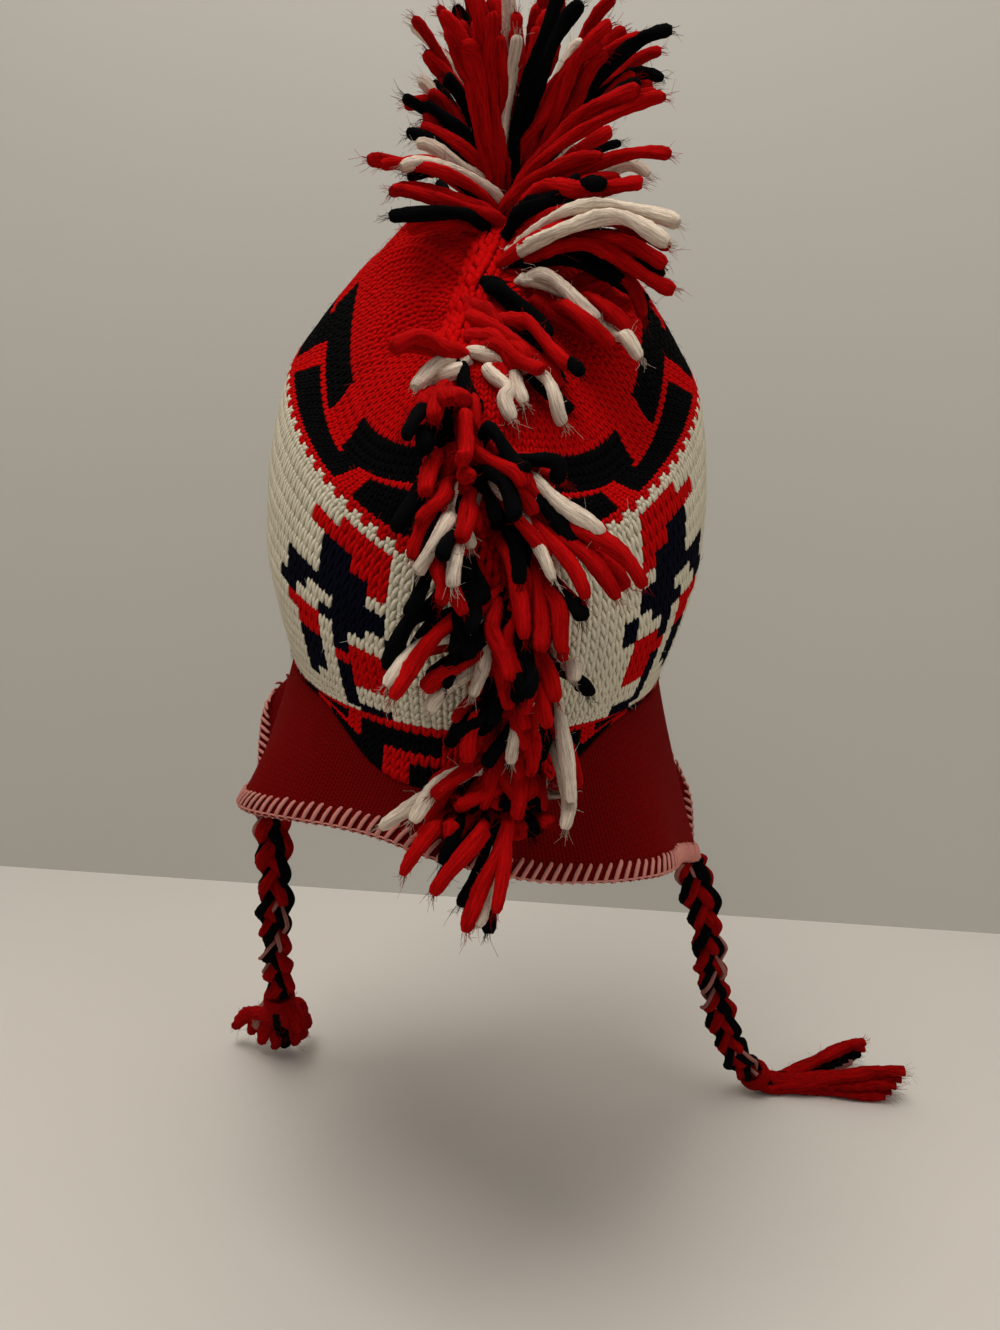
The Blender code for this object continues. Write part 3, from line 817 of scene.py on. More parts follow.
def crown_levels():
    """Levels of the crown's rows, evenly far apart along the hat."""
    levels = np.linspace(CROWN_TOP, BANDS[0][1], 60)
    angles = np.linspace(-180.0, 180.0, 24, endpoint=False)
    rings = np.array([body_ring(level / LEVELS, angles) for level in levels])
    run = np.linalg.norm(np.diff(rings, axis=0), axis=2).mean(axis=1)
    run = np.concatenate(([0.0], np.cumsum(run)))
    rows = int(round(run[-1] / CROWN_ROW))
    return list(np.interp(np.linspace(0.0, run[-1], rows + 1), run, levels))


def band_rows():
    """Every row below the crown as (band, row within it, level above it, level below it)."""
    rows = []
    for name, first, last, count in BANDS:
        edges = np.linspace(first, last, count + 1)
        rows += [(name, k, edges[k], edges[k + 1]) for k in range(count)]
    return rows


def charted(band, row, column):
    """The yarn of a stitch; columns count from the nape, to the right."""
    if band == "key":
        k = (KEY_START - abs(column)) % KEY_REPEAT
        if row <= 3:
            return "black" if k >= 12 or k <= 5 else "red"
        if row == 4:
            return "black" if 13 <= k <= 16 else "red"
        if row <= 9:
            return "black" if k <= 16 else "red"
        return "red"
    if band == "zigzag":
        return "red" if column % 2 and row == 0 else "white"
    if band == "figures":
        which = round((column - FIGURE_MIDDLE) / FIGURE_REPEAT)
        off = column - (FIGURE_MIDDLE + which * FIGURE_REPEAT)
        k = int(round((off if which % 2 else -off) + len(FIGURE[0]) / 2.0 - 0.5))
        mark = FIGURE[row][k] if 0 <= k < len(FIGURE[0]) else "."
        return {"r": "red", "n": "navy", ".": "white"}[mark]
    k = -abs(column) % BLOCK_REPEAT
    high = row in (1, 2) and k <= 8
    low = row >= 4 and (k >= 6 or k <= 2)
    return "black" if high or low or (row == 3 and k <= 2) else "red"


def centred(column):
    """A column's number counted from the nape, negative to the left."""
    return column - COLUMNS if column >= COLUMNS // 2 else column


def body_at(level, columns, angles):
    """Points, across and outward directions on the body at a level, at columns and parts of them."""
    turned = np.degrees(np.unwrap(np.radians(angles)))
    at = np.interp(columns % COLUMNS, np.arange(COLUMNS + 1), turned)
    at = (at + 180.0) % 360.0 - 180.0
    place = body_ring(level / LEVELS, at)
    # the directions come from neighbours this many degrees and levels away
    step, rise = 0.6, 0.1
    across = unit(body_ring(level / LEVELS, at + step) - body_ring(level / LEVELS, at - step))
    low, high = max(level - rise, 0.02), min(level + rise, LEVELS)
    up = unit(body_ring(low / LEVELS, at) - body_ring(high / LEVELS, at))
    return place, across, unit(np.cross(across, up))


def row_places(above, below, count, angles):
    """Places of a row of stitches between two levels, count of them all round in equal sectors."""
    columns = (np.arange(count) + 0.5) * COLUMNS / count
    middle = (above + below) / 2.0
    place, across, outward = body_at(middle, columns, angles)
    step = COLUMNS / count / 2.0
    left, right = (body_at(middle, columns + s * step, angles)[0] for s in (-1, 1))
    top, low = (body_at(level, columns, angles)[0] for level in (above, below))
    wide = np.linalg.norm(right - left, axis=1)
    high = np.linalg.norm(top - low, axis=1)
    return place, across, outward, np.stack((wide, high), axis=-1)


def knit_rows(angles):
    """Places, directions and sizes of the body's stitches as {yarn: arrays}, the crown's apart."""
    rows = {}
    crown = crown_levels()
    for above, below in zip(crown, crown[1:]):
        ring = body_ring((above + below) / 2.0 / LEVELS, np.linspace(-180, 180, 97))
        per_sector = max(1, int(round(line_length(ring) / (CROWN_SECTORS * CROWN_STITCH))))
        count = min(per_sector * CROWN_SECTORS, COLUMNS)
        rows.setdefault("crown", []).append(row_places(above, below, count, angles))
    for band, k, above, below in band_rows():
        found = row_places(above, below, COLUMNS, angles)
        names = np.array([charted(band, k, centred(c)) for c in range(COLUMNS)])
        for yarn in ("red", "black", "navy", "white"):
            rows.setdefault(yarn, []).append([values[names == yarn] for values in found])
    return {yarn: [np.concatenate(part) for part in zip(*found)] for yarn, found in rows.items()}


def knit_shell(yarns, angles):
    """The knit's ground: a closed wall with the chart's colours, inside and outside."""
    crown, bands = crown_levels()[:-1], band_rows()
    levels = crown + [row[2] for row in bands] + [LEVELS]
    rings = np.array([body_ring(level / LEVELS, angles[:-1]) for level in levels])
    _, outward = ring_frames(rings)
    outer = rings - outward * GROUND_DEPTH
    inner = rings - outward * (KNIT_WALL - GROUND_EASE)
    inner[-1, :, 2] = np.maximum(inner[-1, :, 2], rings[-1, :, 2])
    for wall in (outer, inner):
        wall[-1, :, 2] -= SEAM_LAP
    count = len(levels) * COLUMNS
    tip = body_ring(0.004, np.zeros(1))[0]
    points = [*outer.reshape(-1, 3), *inner.reshape(-1, 3), tip, tip + (0.0, 0.004, -0.004)]
    faces = grid_faces(len(levels), COLUMNS)
    faces += [tuple(reversed(face)) for face in grid_faces(len(levels), COLUMNS, count)]
    colours = ["red"] * (len(crown) * COLUMNS)
    colours += [charted(band, k, centred(c)) for band, k, _, _ in bands for c in range(COLUMNS)]
    colours = colours * 2 + ["red"] * (3 * COLUMNS)
    low = (len(levels) - 1) * COLUMNS
    for c in range(COLUMNS):
        after = (c + 1) % COLUMNS
        faces.append((low + c, count + low + c, count + low + after, low + after))
        faces.append((2 * count, c, after))
        faces.append((2 * count + 1, count + after, count + c))
    mesh = mesh_of("knit_ground", points, [], faces)
    mesh.shade_smooth()
    dyes = {name: (*getattr(yarns, name), 1.0) for name in set(colours)}
    dye = [dyes[name] for name, face in zip(colours, faces) for _ in face]
    attribute(mesh, "dye", "FLOAT_COLOR", dye, "CORNER")
    return mesh


def skirt_angles():
    """The skirt's columns: evenly wide, with close ones at each flap's front corner."""
    fine = column_angles(168, LEVELS)[:-1]
    corners = [s * a for s in (-1.0, 1.0) for a in (117.5, 118.5, 119.5, 120.5, 121.5, 122.5)]
    kept = [a for a in fine if all(abs(a - c) > 0.8 for c in corners)]
    return np.array(sorted(kept + corners))


# The skirt: its rings from the body to the edge, the one at half its height, its stitches' width
# and height, and the steps and flatness of the edge's round
SKIRT_RINGS = 25
SKIRT_MIDDLE = 12
SKIRT_STITCH = (0.0031, 0.0027)
ROUND_STEPS = 6
ROUND_FLATNESS = 0.6


def skirt_rings(angles):
    return np.array([skirt_ring(k / (SKIRT_RINGS - 1), angles) for k in range(SKIRT_RINGS)])


def skirt_shell(angles):
    """The skirt's wall with a rounded edge, and its stitch map."""
    rings = skirt_rings(angles)
    up, outward = ring_frames(rings)
    inner = rings - outward * SKIRT_WALL
    roll = []
    for k in range(1, ROUND_STEPS):
        turn = math.pi * k / ROUND_STEPS
        roll.append(
            rings[-1]
            - outward[-1] * SKIRT_WALL / 2.0 * (1.0 - math.cos(turn))
            - up[-1] * SKIRT_WALL / 2.0 * math.sin(turn) * ROUND_FLATNESS
        )
    rows = np.concatenate((rings, roll, inner[::-1]))
    columns = len(angles)
    faces = grid_faces(len(rows), columns)
    last = (len(rows) - 1) * columns
    for c in range(columns):
        after = (c + 1) % columns
        faces.append((last + c, c, after, last + after))
    mesh = mesh_of("skirt_knit", rows.reshape(-1, 3), [], faces)
    mesh.shade_smooth()
    middle = rings[SKIRT_MIDDLE]
    u = running(np.concatenate((middle, middle[:1]))) / SKIRT_STITCH[0]
    down = np.linalg.norm(np.diff(rows, axis=0), axis=2).mean(axis=1)
    v = -np.concatenate(([0.0], np.cumsum(down))) / SKIRT_STITCH[1]
    layer = mesh.uv_layers.new(name="stitches")
    for polygon in mesh.polygons:
        corners = [mesh.loops[k].vertex_index for k in polygon.loop_indices]
        columns_of = [k % columns for k in corners]
        wraps = max(columns_of) - min(columns_of) > 1
        for k, vertex, column in zip(polygon.loop_indices, corners, columns_of):
            column = columns if wraps and column == 0 else column
            layer.data[k].uv = (u[column], v[vertex // columns])
    return mesh


def tree_of(mesh):
    """A mesh as a tree that rays and nearest places are found in."""
    return BVHTree.FromPolygons(
        [v.co.copy() for v in mesh.vertices], [tuple(p.vertices) for p in mesh.polygons]
    )


def camera_axes():
    pitch, roll = math.radians(CAMERA_PITCH), math.radians(CAMERA_ROLL)
    return Matrix.Rotation(math.pi / 2.0 - pitch, 3, "X") @ Matrix.Rotation(roll, 3, "Z")


def sight(across, down):
    """The direction in which the camera sees a place of the picture, in its pixels."""
    local = Vector((across - PICTURE_WIDTH / 2.0, PICTURE_HEIGHT / 2.0 - down, -FOCAL_PIXELS))
    return (camera_axes() @ local).normalized()


def at_height(across, down, height):
    """The place that the camera sees there at a height."""
    ray = sight(across, down)
    return CAMERA_PLACE + ray * ((height - CAMERA_PLACE.z) / ray.z)


def smooth_line(points, steps):
    """Points of a smooth curve through points, so many steps from each to the next."""
    knots = [Vector(p) for p in points]
    line = []
    for i in range(len(knots) - 1):
        a, b = knots[max(i - 1, 0)], knots[i]
        c, d = knots[i + 1], knots[min(i + 2, len(knots) - 1)]
        for step in range(steps):
            t = step / steps
            line.append(
                0.5
                * (
                    2 * b
                    + (c - a) * t
                    + (2 * a - 5 * b + 4 * c - d) * t * t
                    + (3 * b - a - 3 * c + d) * t * t * t
                )
            )
    return [tuple(p) for p in line + [knots[-1]]]


def curve_through(points, count):
    """A smooth curve through points, as count points evenly far apart."""
    fine = np.array(smooth_line(points, 12))
    run = running(fine)
    return sampled(np.linspace(0.0, run[-1], count), run, fine)


# The plait of a tie: three strands, each a thick yarn with thinner ones laid against it. The period,
# swing and depth are the strands' way round each other, and the twist is each strand's own.
PLAIT_PERIOD = 0.046
PLAIT_SWING = 0.0054
PLAIT_DEPTH = 0.0026
PLAIT_TWIST = 0.085
PLAIT_TAPER = 0.16
PLAIT_POINTS = 110
# How far painted shade darkens the plaits' red and pale yarns from the crest's red and the edge's
# thread
PLAIT_SHADE_RED = 0.62
PLAIT_SHADE_PALE = 0.58
PLAIT_YARNS = [
    # yarn, half width, distance from the strand's middle, degrees round it
    [("red", 0.0042, 0.0006, 0.0), ("black", 0.0033, 0.0030, 110.0), ("red", 0.0024, 0.0030, 240.0)],
    [("red", 0.0041, 0.0006, 0.0), ("white", 0.0015, 0.0042, 70.0), ("black", 0.0033, 0.0032, 200.0)],
    [("black", 0.0042, 0.0006, 0.0), ("white", 0.0014, 0.0043, 20.0), ("red", 0.0032, 0.0030, 150.0)],
]


def plait_lines(route, wide, turn):
    """Lines of the plait's nine yarns along a route, as {yarn: lines}."""
    path = curve_through(route, PLAIT_POINTS)
    along = unit(np.gradient(path, axis=0))
    wide = np.array(wide)
    side = unit(wide - along * (along @ wide)[:, None])
    deep = np.cross(along, side)
    run = np.linspace(0.0, line_length(path), len(path))
    taper = 1.0 - PLAIT_TAPER * (run / run[-1])

    def beside(line, across, down):
        return line + side * across[:, None] + deep * down[:, None]

    lines = {}
    for k, yarns in enumerate(PLAIT_YARNS):
        phase = 2.0 * math.pi * (run / PLAIT_PERIOD + k / 3.0) + turn
        middle = beside(
            path, PLAIT_SWING * taper * np.sin(phase), PLAIT_DEPTH * np.sin(2.0 * phase)
        )
        for yarn, half, off, degrees in yarns:
            spin = math.radians(degrees) + 2.0 * math.pi * run / PLAIT_TWIST + k
            place = beside(middle, off * np.cos(spin), off * np.sin(spin))
            lines.setdefault(yarn, []).append((place, half * taper, 3.1 * k + degrees / 50.0))
    return lines


def fuzz_lines(strands, count, reach, rng, tips=0):
    """Stray fibres that stand off strands; each is a short curl."""
    lines = []
    for points, widths, tint in strands:
        points = np.asarray(points)
        for k in range(count + tips):
            at_tip = k >= count
            place = len(points) - 1 if at_tip else rng.randrange(1, len(points) - 1)
            ahead = points[place] - points[place - 1]
            ahead = ahead / (np.linalg.norm(ahead) + 1e-9)
            chance = np.array([rng.gauss(0, 1) for _ in range(3)])
            off = chance - ahead * chance.dot(ahead)
            off = off / (np.linalg.norm(off) + 1e-9)
            half = widths[place]
            long = reach * rng.uniform(0.5, 1.5)
            start = points[place] + off * half * (rng.uniform(0.2, 0.9) if at_tip else 0.85)
            lean = ahead * rng.uniform(0.6, 1.4) if at_tip else ahead * rng.uniform(-1.0, 1.2)
            step = (off * (0.25 if at_tip else 0.8) + lean) * long / 2.0
            curl = np.array([rng.gauss(0, 1) for _ in range(3)]) * long * 0.16
            line = [start, start + step, start + step * 2 + curl * 2.0]
            line = [(p[0], p[1], max(p[2], REST_LEVEL + FLOOR_CLEAR)) for p in line]
            lines.append((line, STRAND_FIBRE, tint + k))
    return lines


def knit_fibres(place, across, outward, rng):
    """Short fibres that stand off the knit's stitches."""
    lines = []
    for spot, side, out in zip(place, across, outward):
        if rng.random() > FIBRE_SHARE:
            continue
        up = np.cross(out, side)
        lean = side * rng.gauss(0.0, 0.9) + up * rng.gauss(0.0, 0.9)
        long = rng.uniform(0.0012, 0.0030)
        start = spot + out * 0.0006 + (side + up) * rng.uniform(-0.0010, 0.0010)
        middle = start + (out * 0.7 + lean * 0.6) * long * 0.5
        last = middle + (out * 0.25 + lean + up * rng.gauss(0.0, 0.5)) * long * 0.5
        lines.append(([start, middle, last], KNIT_FIBRE, rng.uniform(0.0, 9.0)))
    return lines


def join_pieces(name, pieces):
    """One object of several, with their materials kept."""
    for piece in pieces:
        piece.select_set(False)
    with bpy.context.temp_override(
        active_object=pieces[0], selected_objects=pieces, selected_editable_objects=pieces
    ):
        bpy.ops.object.join()
    pieces[0].name = name
    pieces[0].data.name = name
    return pieces[0]


# Trees and pieces that several steps use
BUILT = {}


def shared(name, build):
    """A tree that several pieces use, built once."""
    if name not in BUILT:
        BUILT[name] = build()
    return BUILT[name]


def strands_piece(name, lines, yarns, sides, lumps):
    """One piece of strands of several yarns."""
    tree = shared("strands", strands_tree)
    parts = []
    for yarn, rows in lines.items():
        part = name + "_" + yarn if len(lines) > 1 else name
        values = {"Sides": sides, "Lumps": lumps, "Yarn": yarns[yarn]}
        parts.append(grow(part, lines_mesh(part, rows), tree, values))
    return join_pieces(name, parts) if len(parts) > 1 else parts[0]


def stitches_piece(name, legs, sides, places, values):
    """One piece with a stitch of these legs on every place; values are the tree's named inputs."""
    shape = stitch_shape(name + "_shape", legs, sides)
    tree = shared("stitches", stitches_tree)
    piece = grow(name, places_mesh(name, *places), tree, {"Stitch": shape, **values})
    bpy.data.objects.remove(shape)
    return piece


def crest_eye():
    return Vector((0.0, 0.0, -CREST_EYE_DROP * BODY_HEIGHT + KNIT_WALL))


def crest_root(tree, angle, side):
    """The hat's outer face at a station of the crest, with its outward direction."""
    line = between(CREST_LINE, angle)[0]
    turn = math.radians(angle)
    outward = Vector((0.0, -math.cos(turn), math.sin(turn)))
    start = Vector((line * RIDGE_WIDTH + side, 0.0, 0.0)) + crest_eye() + outward * 0.4
    place, normal, _, _ = tree.ray_cast(start, -outward, 0.4)
    return place, normal if normal.dot(outward) > 0.0 else -normal


# The crest's strands as the picture shows them, read off in its pixels: where each comes into
# sight, where it ends, its yarn, and for those rooted out of sight the station of its root.
STRANDS = [
    # from across, from down, to across, to down, yarn, station
    (471, 78, 416, 29, "white", 104), (473, 88, 427, 50, "red", 100),
    (471, 109, 416, 82, "white", 98), (471, 118, 411, 97, "red", 96),
    (465, 143, 427, 112, "white", 94), (465, 160, 418, 126, "red", 92),
    (429, 156, 411, 139, "black", 90), (465, 168, 376, 162, "red", 88),
    (420, 202, 383, 168, "red", 84), (454, 179, 397, 168, "white", 86),
    (439, 210, 393, 198, "red", 80), (444, 217, 392, 216, "black", 78),
    (470, 60, 453, 12, "black", 112), (470, 60, 440, 8, "red", 118),
    (480, 60, 466, -12, "red", 114), (476, 74, 491, 13, "white", 106),
    (515, 19, 505, -14, "black", 120), (509, 189, 570, 0, "red", 102),
    (500, 120, 540, -8, "red", 110), (520, 120, 556, 6, "red", 98),
    (520, 120, 612, 4, "red", 108), (500, 185, 583, 44, "white", 90),
    (530, 120, 610, 42, "red", 100), (560, 120, 639, 40, "black", 96),
    (530, 162, 671, 34, "black", 92), (650, 93, 671, 55, "red", 94),
    (559, 126, 641, 88, "red", 88), (551, 147, 658, 99, "red", 86),
    (620, 160, 668, 157, "red", 82), (517, 210, 635, 189, "red", 78),
    (540, 200, 608, 190, "black", 76), (520, 200, 600, 160, "red", 84),
    (524, 225, 683, 223, "white", 72), (524, 233, 675, 240, "white", 68),
    (518, 233, 668, 247, "red", 0), (530, 249, 663, 279, "black", 0),
    (516, 265, 675, 288, "red", 0), (520, 255, 668, 268, "red", 0),
    (560, 285, 642, 313, "red", 0), (518, 281, 599, 315, "white", 0),
    (556, 300, 631, 336, "red", 0), (484, 286, 548, 336, "black", 0),
    (468, 304, 507, 332, "red", 0), (534, 302, 608, 345, "red", 0),
    (570, 320, 645, 359, "white", 0), (466, 318, 560, 391, "red", 0),
    (500, 320, 572, 368, "red", 0), (530, 336, 557, 375, "red", 0),
    (520, 340, 585, 382, "black", 0),
    (470, 361, 392, 343, "red", 0), (462, 362, 415, 387, "white", 0),
    (470, 350, 530, 405, "white", 0), (511, 364, 567, 423, "white", 0),
    (480, 350, 540, 372, "red", 0), (470, 340, 520, 366, "red", 0),
    (489, 370, 516, 423, "white", 0), (459, 364, 484, 439, "black", 0),
    (452, 403, 475, 467, "red", 0), (448, 405, 452, 460, "black", 0),
    (466, 390, 480, 450, "red", 0), (462, 440, 444, 492, "red", 0),
    (466, 470, 474, 530, "red", 0), (456, 470, 466, 552, "white", 0),
    (460, 466, 499, 515, "black", 0), (482, 460, 535, 524, "red", 0),
    (482, 475, 550, 573, "white", 0), (490, 455, 556, 480, "black", 0),
    (487, 444, 554, 520, "red", 0), (500, 462, 572, 554, "black", 0),
    (505, 477, 599, 540, "white", 0), (500, 490, 540, 556, "red", 0),
    (520, 509, 644, 587, "red", 0), (510, 503, 584, 601, "red", 0),
    (520, 520, 620, 600, "red", 0), (500, 500, 520, 580, "black", 0),
    (540, 560, 576, 626, "black", 0), (500, 530, 524, 640, "red", 0),
    (520, 560, 545, 650, "red", 0), (530, 560, 566, 652, "red", 0),
    (500, 610, 384, 682, "white", 0), (505, 582, 392, 695, "red", 0),
    (510, 600, 437, 676, "black", 0), (515, 615, 445, 690, "black", 0),
    (510, 640, 429, 713, "white", 0), (519, 660, 453, 735, "black", 0),
    (523, 672, 468, 756, "red", 0), (541, 672, 494, 760, "black", 0),
    (545, 662, 510, 760, "white", 0), (550, 640, 576, 688, "white", 0),
    (540, 650, 586, 700, "black", 0), (530, 640, 470, 700, "red", 0),
    (520, 620, 420, 690, "red", 0), (535, 680, 530, 770, "red", 0),
    (550, 690, 572, 800, "white", 0), (545, 720, 566, 833, "white", 0),
    (520, 730, 383, 828, "white", 0), (515, 745, 407, 817, "white", 0),
    (515, 740, 407, 872, "red", 0), (510, 755, 437, 870, "black", 0),
    (505, 770, 504, 823, "black", 0), (508, 765, 436, 900, "red", 0),
    (510, 780, 460, 907, "black", 0), (510, 785, 468, 934, "red", 0),
    (512, 790, 474, 930, "white", 0), (508, 775, 495, 912, "red", 0),
    (520, 760, 530, 815, "red", 0), (530, 760, 550, 820, "red", 0),
    (525, 770, 530, 826, "black", 0), (520, 740, 450, 840, "red", 0),
    (500, 740, 430, 800, "red", 0),
]
# The second strand beside each that was read: its yarn in turn, its length as a share of the
# first one's, and how far its end strays in pixels
PARTNERS = ("red", "black", "red", "black", "black", "red", "white", "red", "black", "red", "red")
PARTNER_SHARE = (0.72, 0.93)
PARTNER_SPREAD = 9.0
# The random strands that fill the crest before its top and behind it
FILLS = [
    # front, strands, first station, last station, share of the reach, fall, reds, reds and blacks
    (True, 176, 88.0, 148.0, 1.0, 0.06, 0.62, 0.84),
    (False, 48, -42.0, 60.0, 0.64, 0.22, 0.54, 0.86),
]
FILL_TRIES = 12
# Where the picture shows the crest's thick mass before its top and behind it, in its pixels
CREST_WINDOWS = {
    # left, right, top, bottom
    True: [(392.0, 655.0, -math.inf, 205.0)],
    False: [(390.0, 645.0, 400.0, math.inf), (510.0, math.inf, 250.0, math.inf)],
}
# How long the crest's strands are at stations of its line
REACH_STATIONS = (-46.0, 13.0, 69.0, 90.0, 148.0)
REACH_LENGTHS = (0.060, 0.058, 0.074, 0.088, 0.088)
# Where along a strand its points lie, and its width there as a share of the whole
STRAND_SHARES = (*np.linspace(0.0, 0.93, 14), 0.972, 1.0)
WIDTH_SHARES = (0.0, 0.1, 0.3, 0.92, 0.972, 1.0)
WIDTH_FACTORS = (0.7, 0.85, 1.0, 1.04, 0.94, 0.60)
# How deep a strand's root lies in the hat, and how far its random waves push it
STRAND_ROOT = 0.003
STRAND_WAVE = 0.0013
# A white strand's width as a share of the others'
WHITE_WIDTH = 0.94


def strand_reach(angle):
    return float(np.interp(angle, REACH_STATIONS, REACH_LENGTHS))


def picture_place(place):
    """Where the camera sees a place, in the picture's pixels."""
    local = camera_axes().transposed() @ (place - CAMERA_PLACE)
    shrink = FOCAL_PIXELS / -local.z
    return PICTURE_WIDTH / 2.0 + local.x * shrink, PICTURE_HEIGHT / 2.0 - local.y * shrink


def bend(root, lead, late, tip, t):
    """A place on a curve that leaves its root towards lead and comes to its tip from late."""
    s = 1.0 - t
    return root * s**3 + lead * 3 * s * s * t + late * 3 * s * t * t + tip * t**3


def strand_line(root, normal, tip, droop, half, trees, rng, tint):
    """A crest strand from its root, out along the hat's outward direction and over to its tip."""
    root = root - normal * STRAND_ROOT
    chord = (tip - root).length
    lead = root + (normal * 0.75 + (tip - root).normalized() * 0.45) * chord * 0.38
    late = tip + (root - tip) * 0.30 + normal * chord * 0.10 + Vector((0.0, 0.0, droop * chord))
    waves = []
    for _ in range(2):
        push = Vector([rng.gauss(0.0, STRAND_WAVE) for _ in range(3)])
        waves.append((push, rng.uniform(0.5, 1.6), rng.uniform(0, 6.3)))
    points = []
    for t in map(float, STRAND_SHARES):
        place = bend(root, lead, late, tip, t)
        for push, turns, start in waves:
            place = place + push * math.sin(2.0 * math.pi * turns * t + start) * min(3.0 * t, 1.0)
        if t > 0.12:
            # it stays clear of the hat by most of its half width
            for tree in trees:
                near, face, _, gap = tree.find_nearest(place)
                if gap < 0.025 and (place - near).dot(face) < half * 0.9:
                    place = near + face * half * 0.9
        points.append(tuple(place))
    widths = np.interp(STRAND_SHARES, WIDTH_SHARES, WIDTH_FACTORS)
    return points, [half * width for width in widths], tint


def may_end(tip, front, trees, unseen):
    """Whether a filling strand may end here: where the picture shows the crest, or, for a strand on
    the wearer's side of the hat, out of the picture's sight."""
    ray = tip - CAMERA_PLACE
    reach = ray.length - 0.004
    if any(tree.ray_cast(CAMERA_PLACE, ray.normalized(), reach)[0] for tree in trees):
        return unseen
    x, y = picture_place(tip)
    windows = CREST_WINDOWS[front]
    return any(left < x < right and top < y < bottom for left, right, top, bottom in windows)


def read_strands(tree, trees, rng):
    """The strands of the picture, each with a second one beside it, as
    (yarn, root, outward direction, tip, droop)."""
    for row, (x0, y0, x1, y1, yarn, station) in enumerate(STRANDS):
        ray = sight(x0, y0)
        if station:
            root, normal = crest_root(tree, station, rng.uniform(-0.006, 0.006))
        else:
            hits = [hit for hit in (t.ray_cast(CAMERA_PLACE, ray, 2.0) for t in trees) if hit[0]]
            if hits:
                root, normal, _, _ = min(hits, key=lambda hit: hit[3])
            else:
                root, normal = crest_root(tree, 50.0, 0.004)
            if normal.dot(ray) > 0.0:
                normal = -normal
        angle = station or math.degrees(math.atan2(root.z - crest_eye().z, -root.y))
        for twin in range(2):
            length = strand_reach(angle) * rng.uniform(0.92, 1.08)
            share = rng.uniform(*PARTNER_SHARE) if twin else 1.0
            spread = PARTNER_SPREAD if twin else 0.0
            x = x0 + (x1 - x0) * share + rng.gauss(0.0, 1.0) * spread
            y = y0 + (y1 - y0) * share + rng.gauss(0.0, 1.0) * spread
            far = sight(x, y)
            foot = CAMERA_PLACE + far * (root - CAMERA_PLACE).dot(far)
            beside = (foot - root).length
            toward = min(math.sqrt(max(length * length - beside * beside, 0.0)), 0.28 * length)
            toward *= 0.45 if twin else 1.0
            tip = foot - far * toward * (1.0 if angle < 90.0 else -0.6)
            mate = PARTNERS[row % len(PARTNERS)] if twin else yarn
            start = root + Vector((rng.uniform(-0.004, 0.004), 0.0, 0.0)) if twin else root
            yield mate, start, normal, tip, 0.10 if angle > 60.0 else 0.16


def filling_strands(tree, trees, rng):
    """Random strands where the picture shows a thick mass, in the same form as those read."""
    across = Vector((1.0, 0.0, 0.0))
    for front, count, first, last, reach, fall_share, reds, blacks in FILLS:
        for k in range(count):
            for _ in range(FILL_TRIES):
                angle = rng.uniform(first, last)
                root, normal = crest_root(tree, angle, rng.uniform(-0.008, 0.008))
                _, fall, left, right = between(CREST_LINE, angle)
                upright = normal + across.cross(normal) * fall * rng.uniform(0.6, 1.1)
                lean = rng.uniform(-1.0, 1.0)
                lean = math.radians((right if lean > 0.0 else left) * lean * 1.1)
                heading = upright.normalized() * math.cos(lean) + across * math.sin(lean)
                length = strand_reach(angle) * rng.uniform(0.80, 1.0) * reach
                tip = root + heading * length
                tip.z -= length * fall_share
                if may_end(tip, front, trees, front and k % 3 == 0):
                    break
            else:
                continue
            pick = rng.random()
            yarn = "red" if pick < reds else "black" if pick < blacks else "white"
            yield yarn, root, normal, tip, 0.08


def crest_lines(tree, trees, sizes):
    """All strands of the crest as {yarn: lines}."""
    rng = random.Random(sizes.seed)
    lines = {"red": [], "black": [], "white": []}
    for kind in (read_strands, filling_strands):
        for yarn, root, normal, tip, droop in kind(tree, trees, rng):
            half = sizes.strand_width / 2.0 * rng.uniform(0.86, 1.14)
            half *= WHITE_WIDTH if yarn == "white" else 1.0
            tint = rng.uniform(0.0, 40.0)
            lines[yarn].append(strand_line(root, normal, tip, droop, half, trees, rng, tint))
    return lines


# The ridge's stitches: degrees from each to the next, the space between their three columns, how
# high the middle column and the outer ones stand, how far the outer ones lean, and a stitch's size
RIDGE_PITCH = 2.2
RIDGE_COLUMN = 0.0052
RIDGE_HEIGHTS = (0.0026, 0.0010)
RIDGE_LEAN = 0.45
RIDGE_STITCH = (0.0058, 0.0054, 0.0026)


def ridge_places(tree):
    """Places of the ridge's stitches: three columns of thick stitches under the crest."""
    place, across, outward = [], [], []
    for angle in np.arange(-44.0, 146.0, RIDGE_PITCH):
        for column in (-1, 0, 1):
            spot, normal = crest_root(tree, float(angle), column * RIDGE_COLUMN)
            side = Vector((1.0, 0.0, 0.0)) - normal * normal.x
            place.append(spot + normal * RIDGE_HEIGHTS[abs(column)])
            across.append(side.normalized())
            outward.append((normal + Vector((RIDGE_LEAN * column, 0.0, 0.0))).normalized())
    size = np.tile(RIDGE_STITCH, (len(place), 1))
    return np.array(place), np.array(across), np.array(outward), size
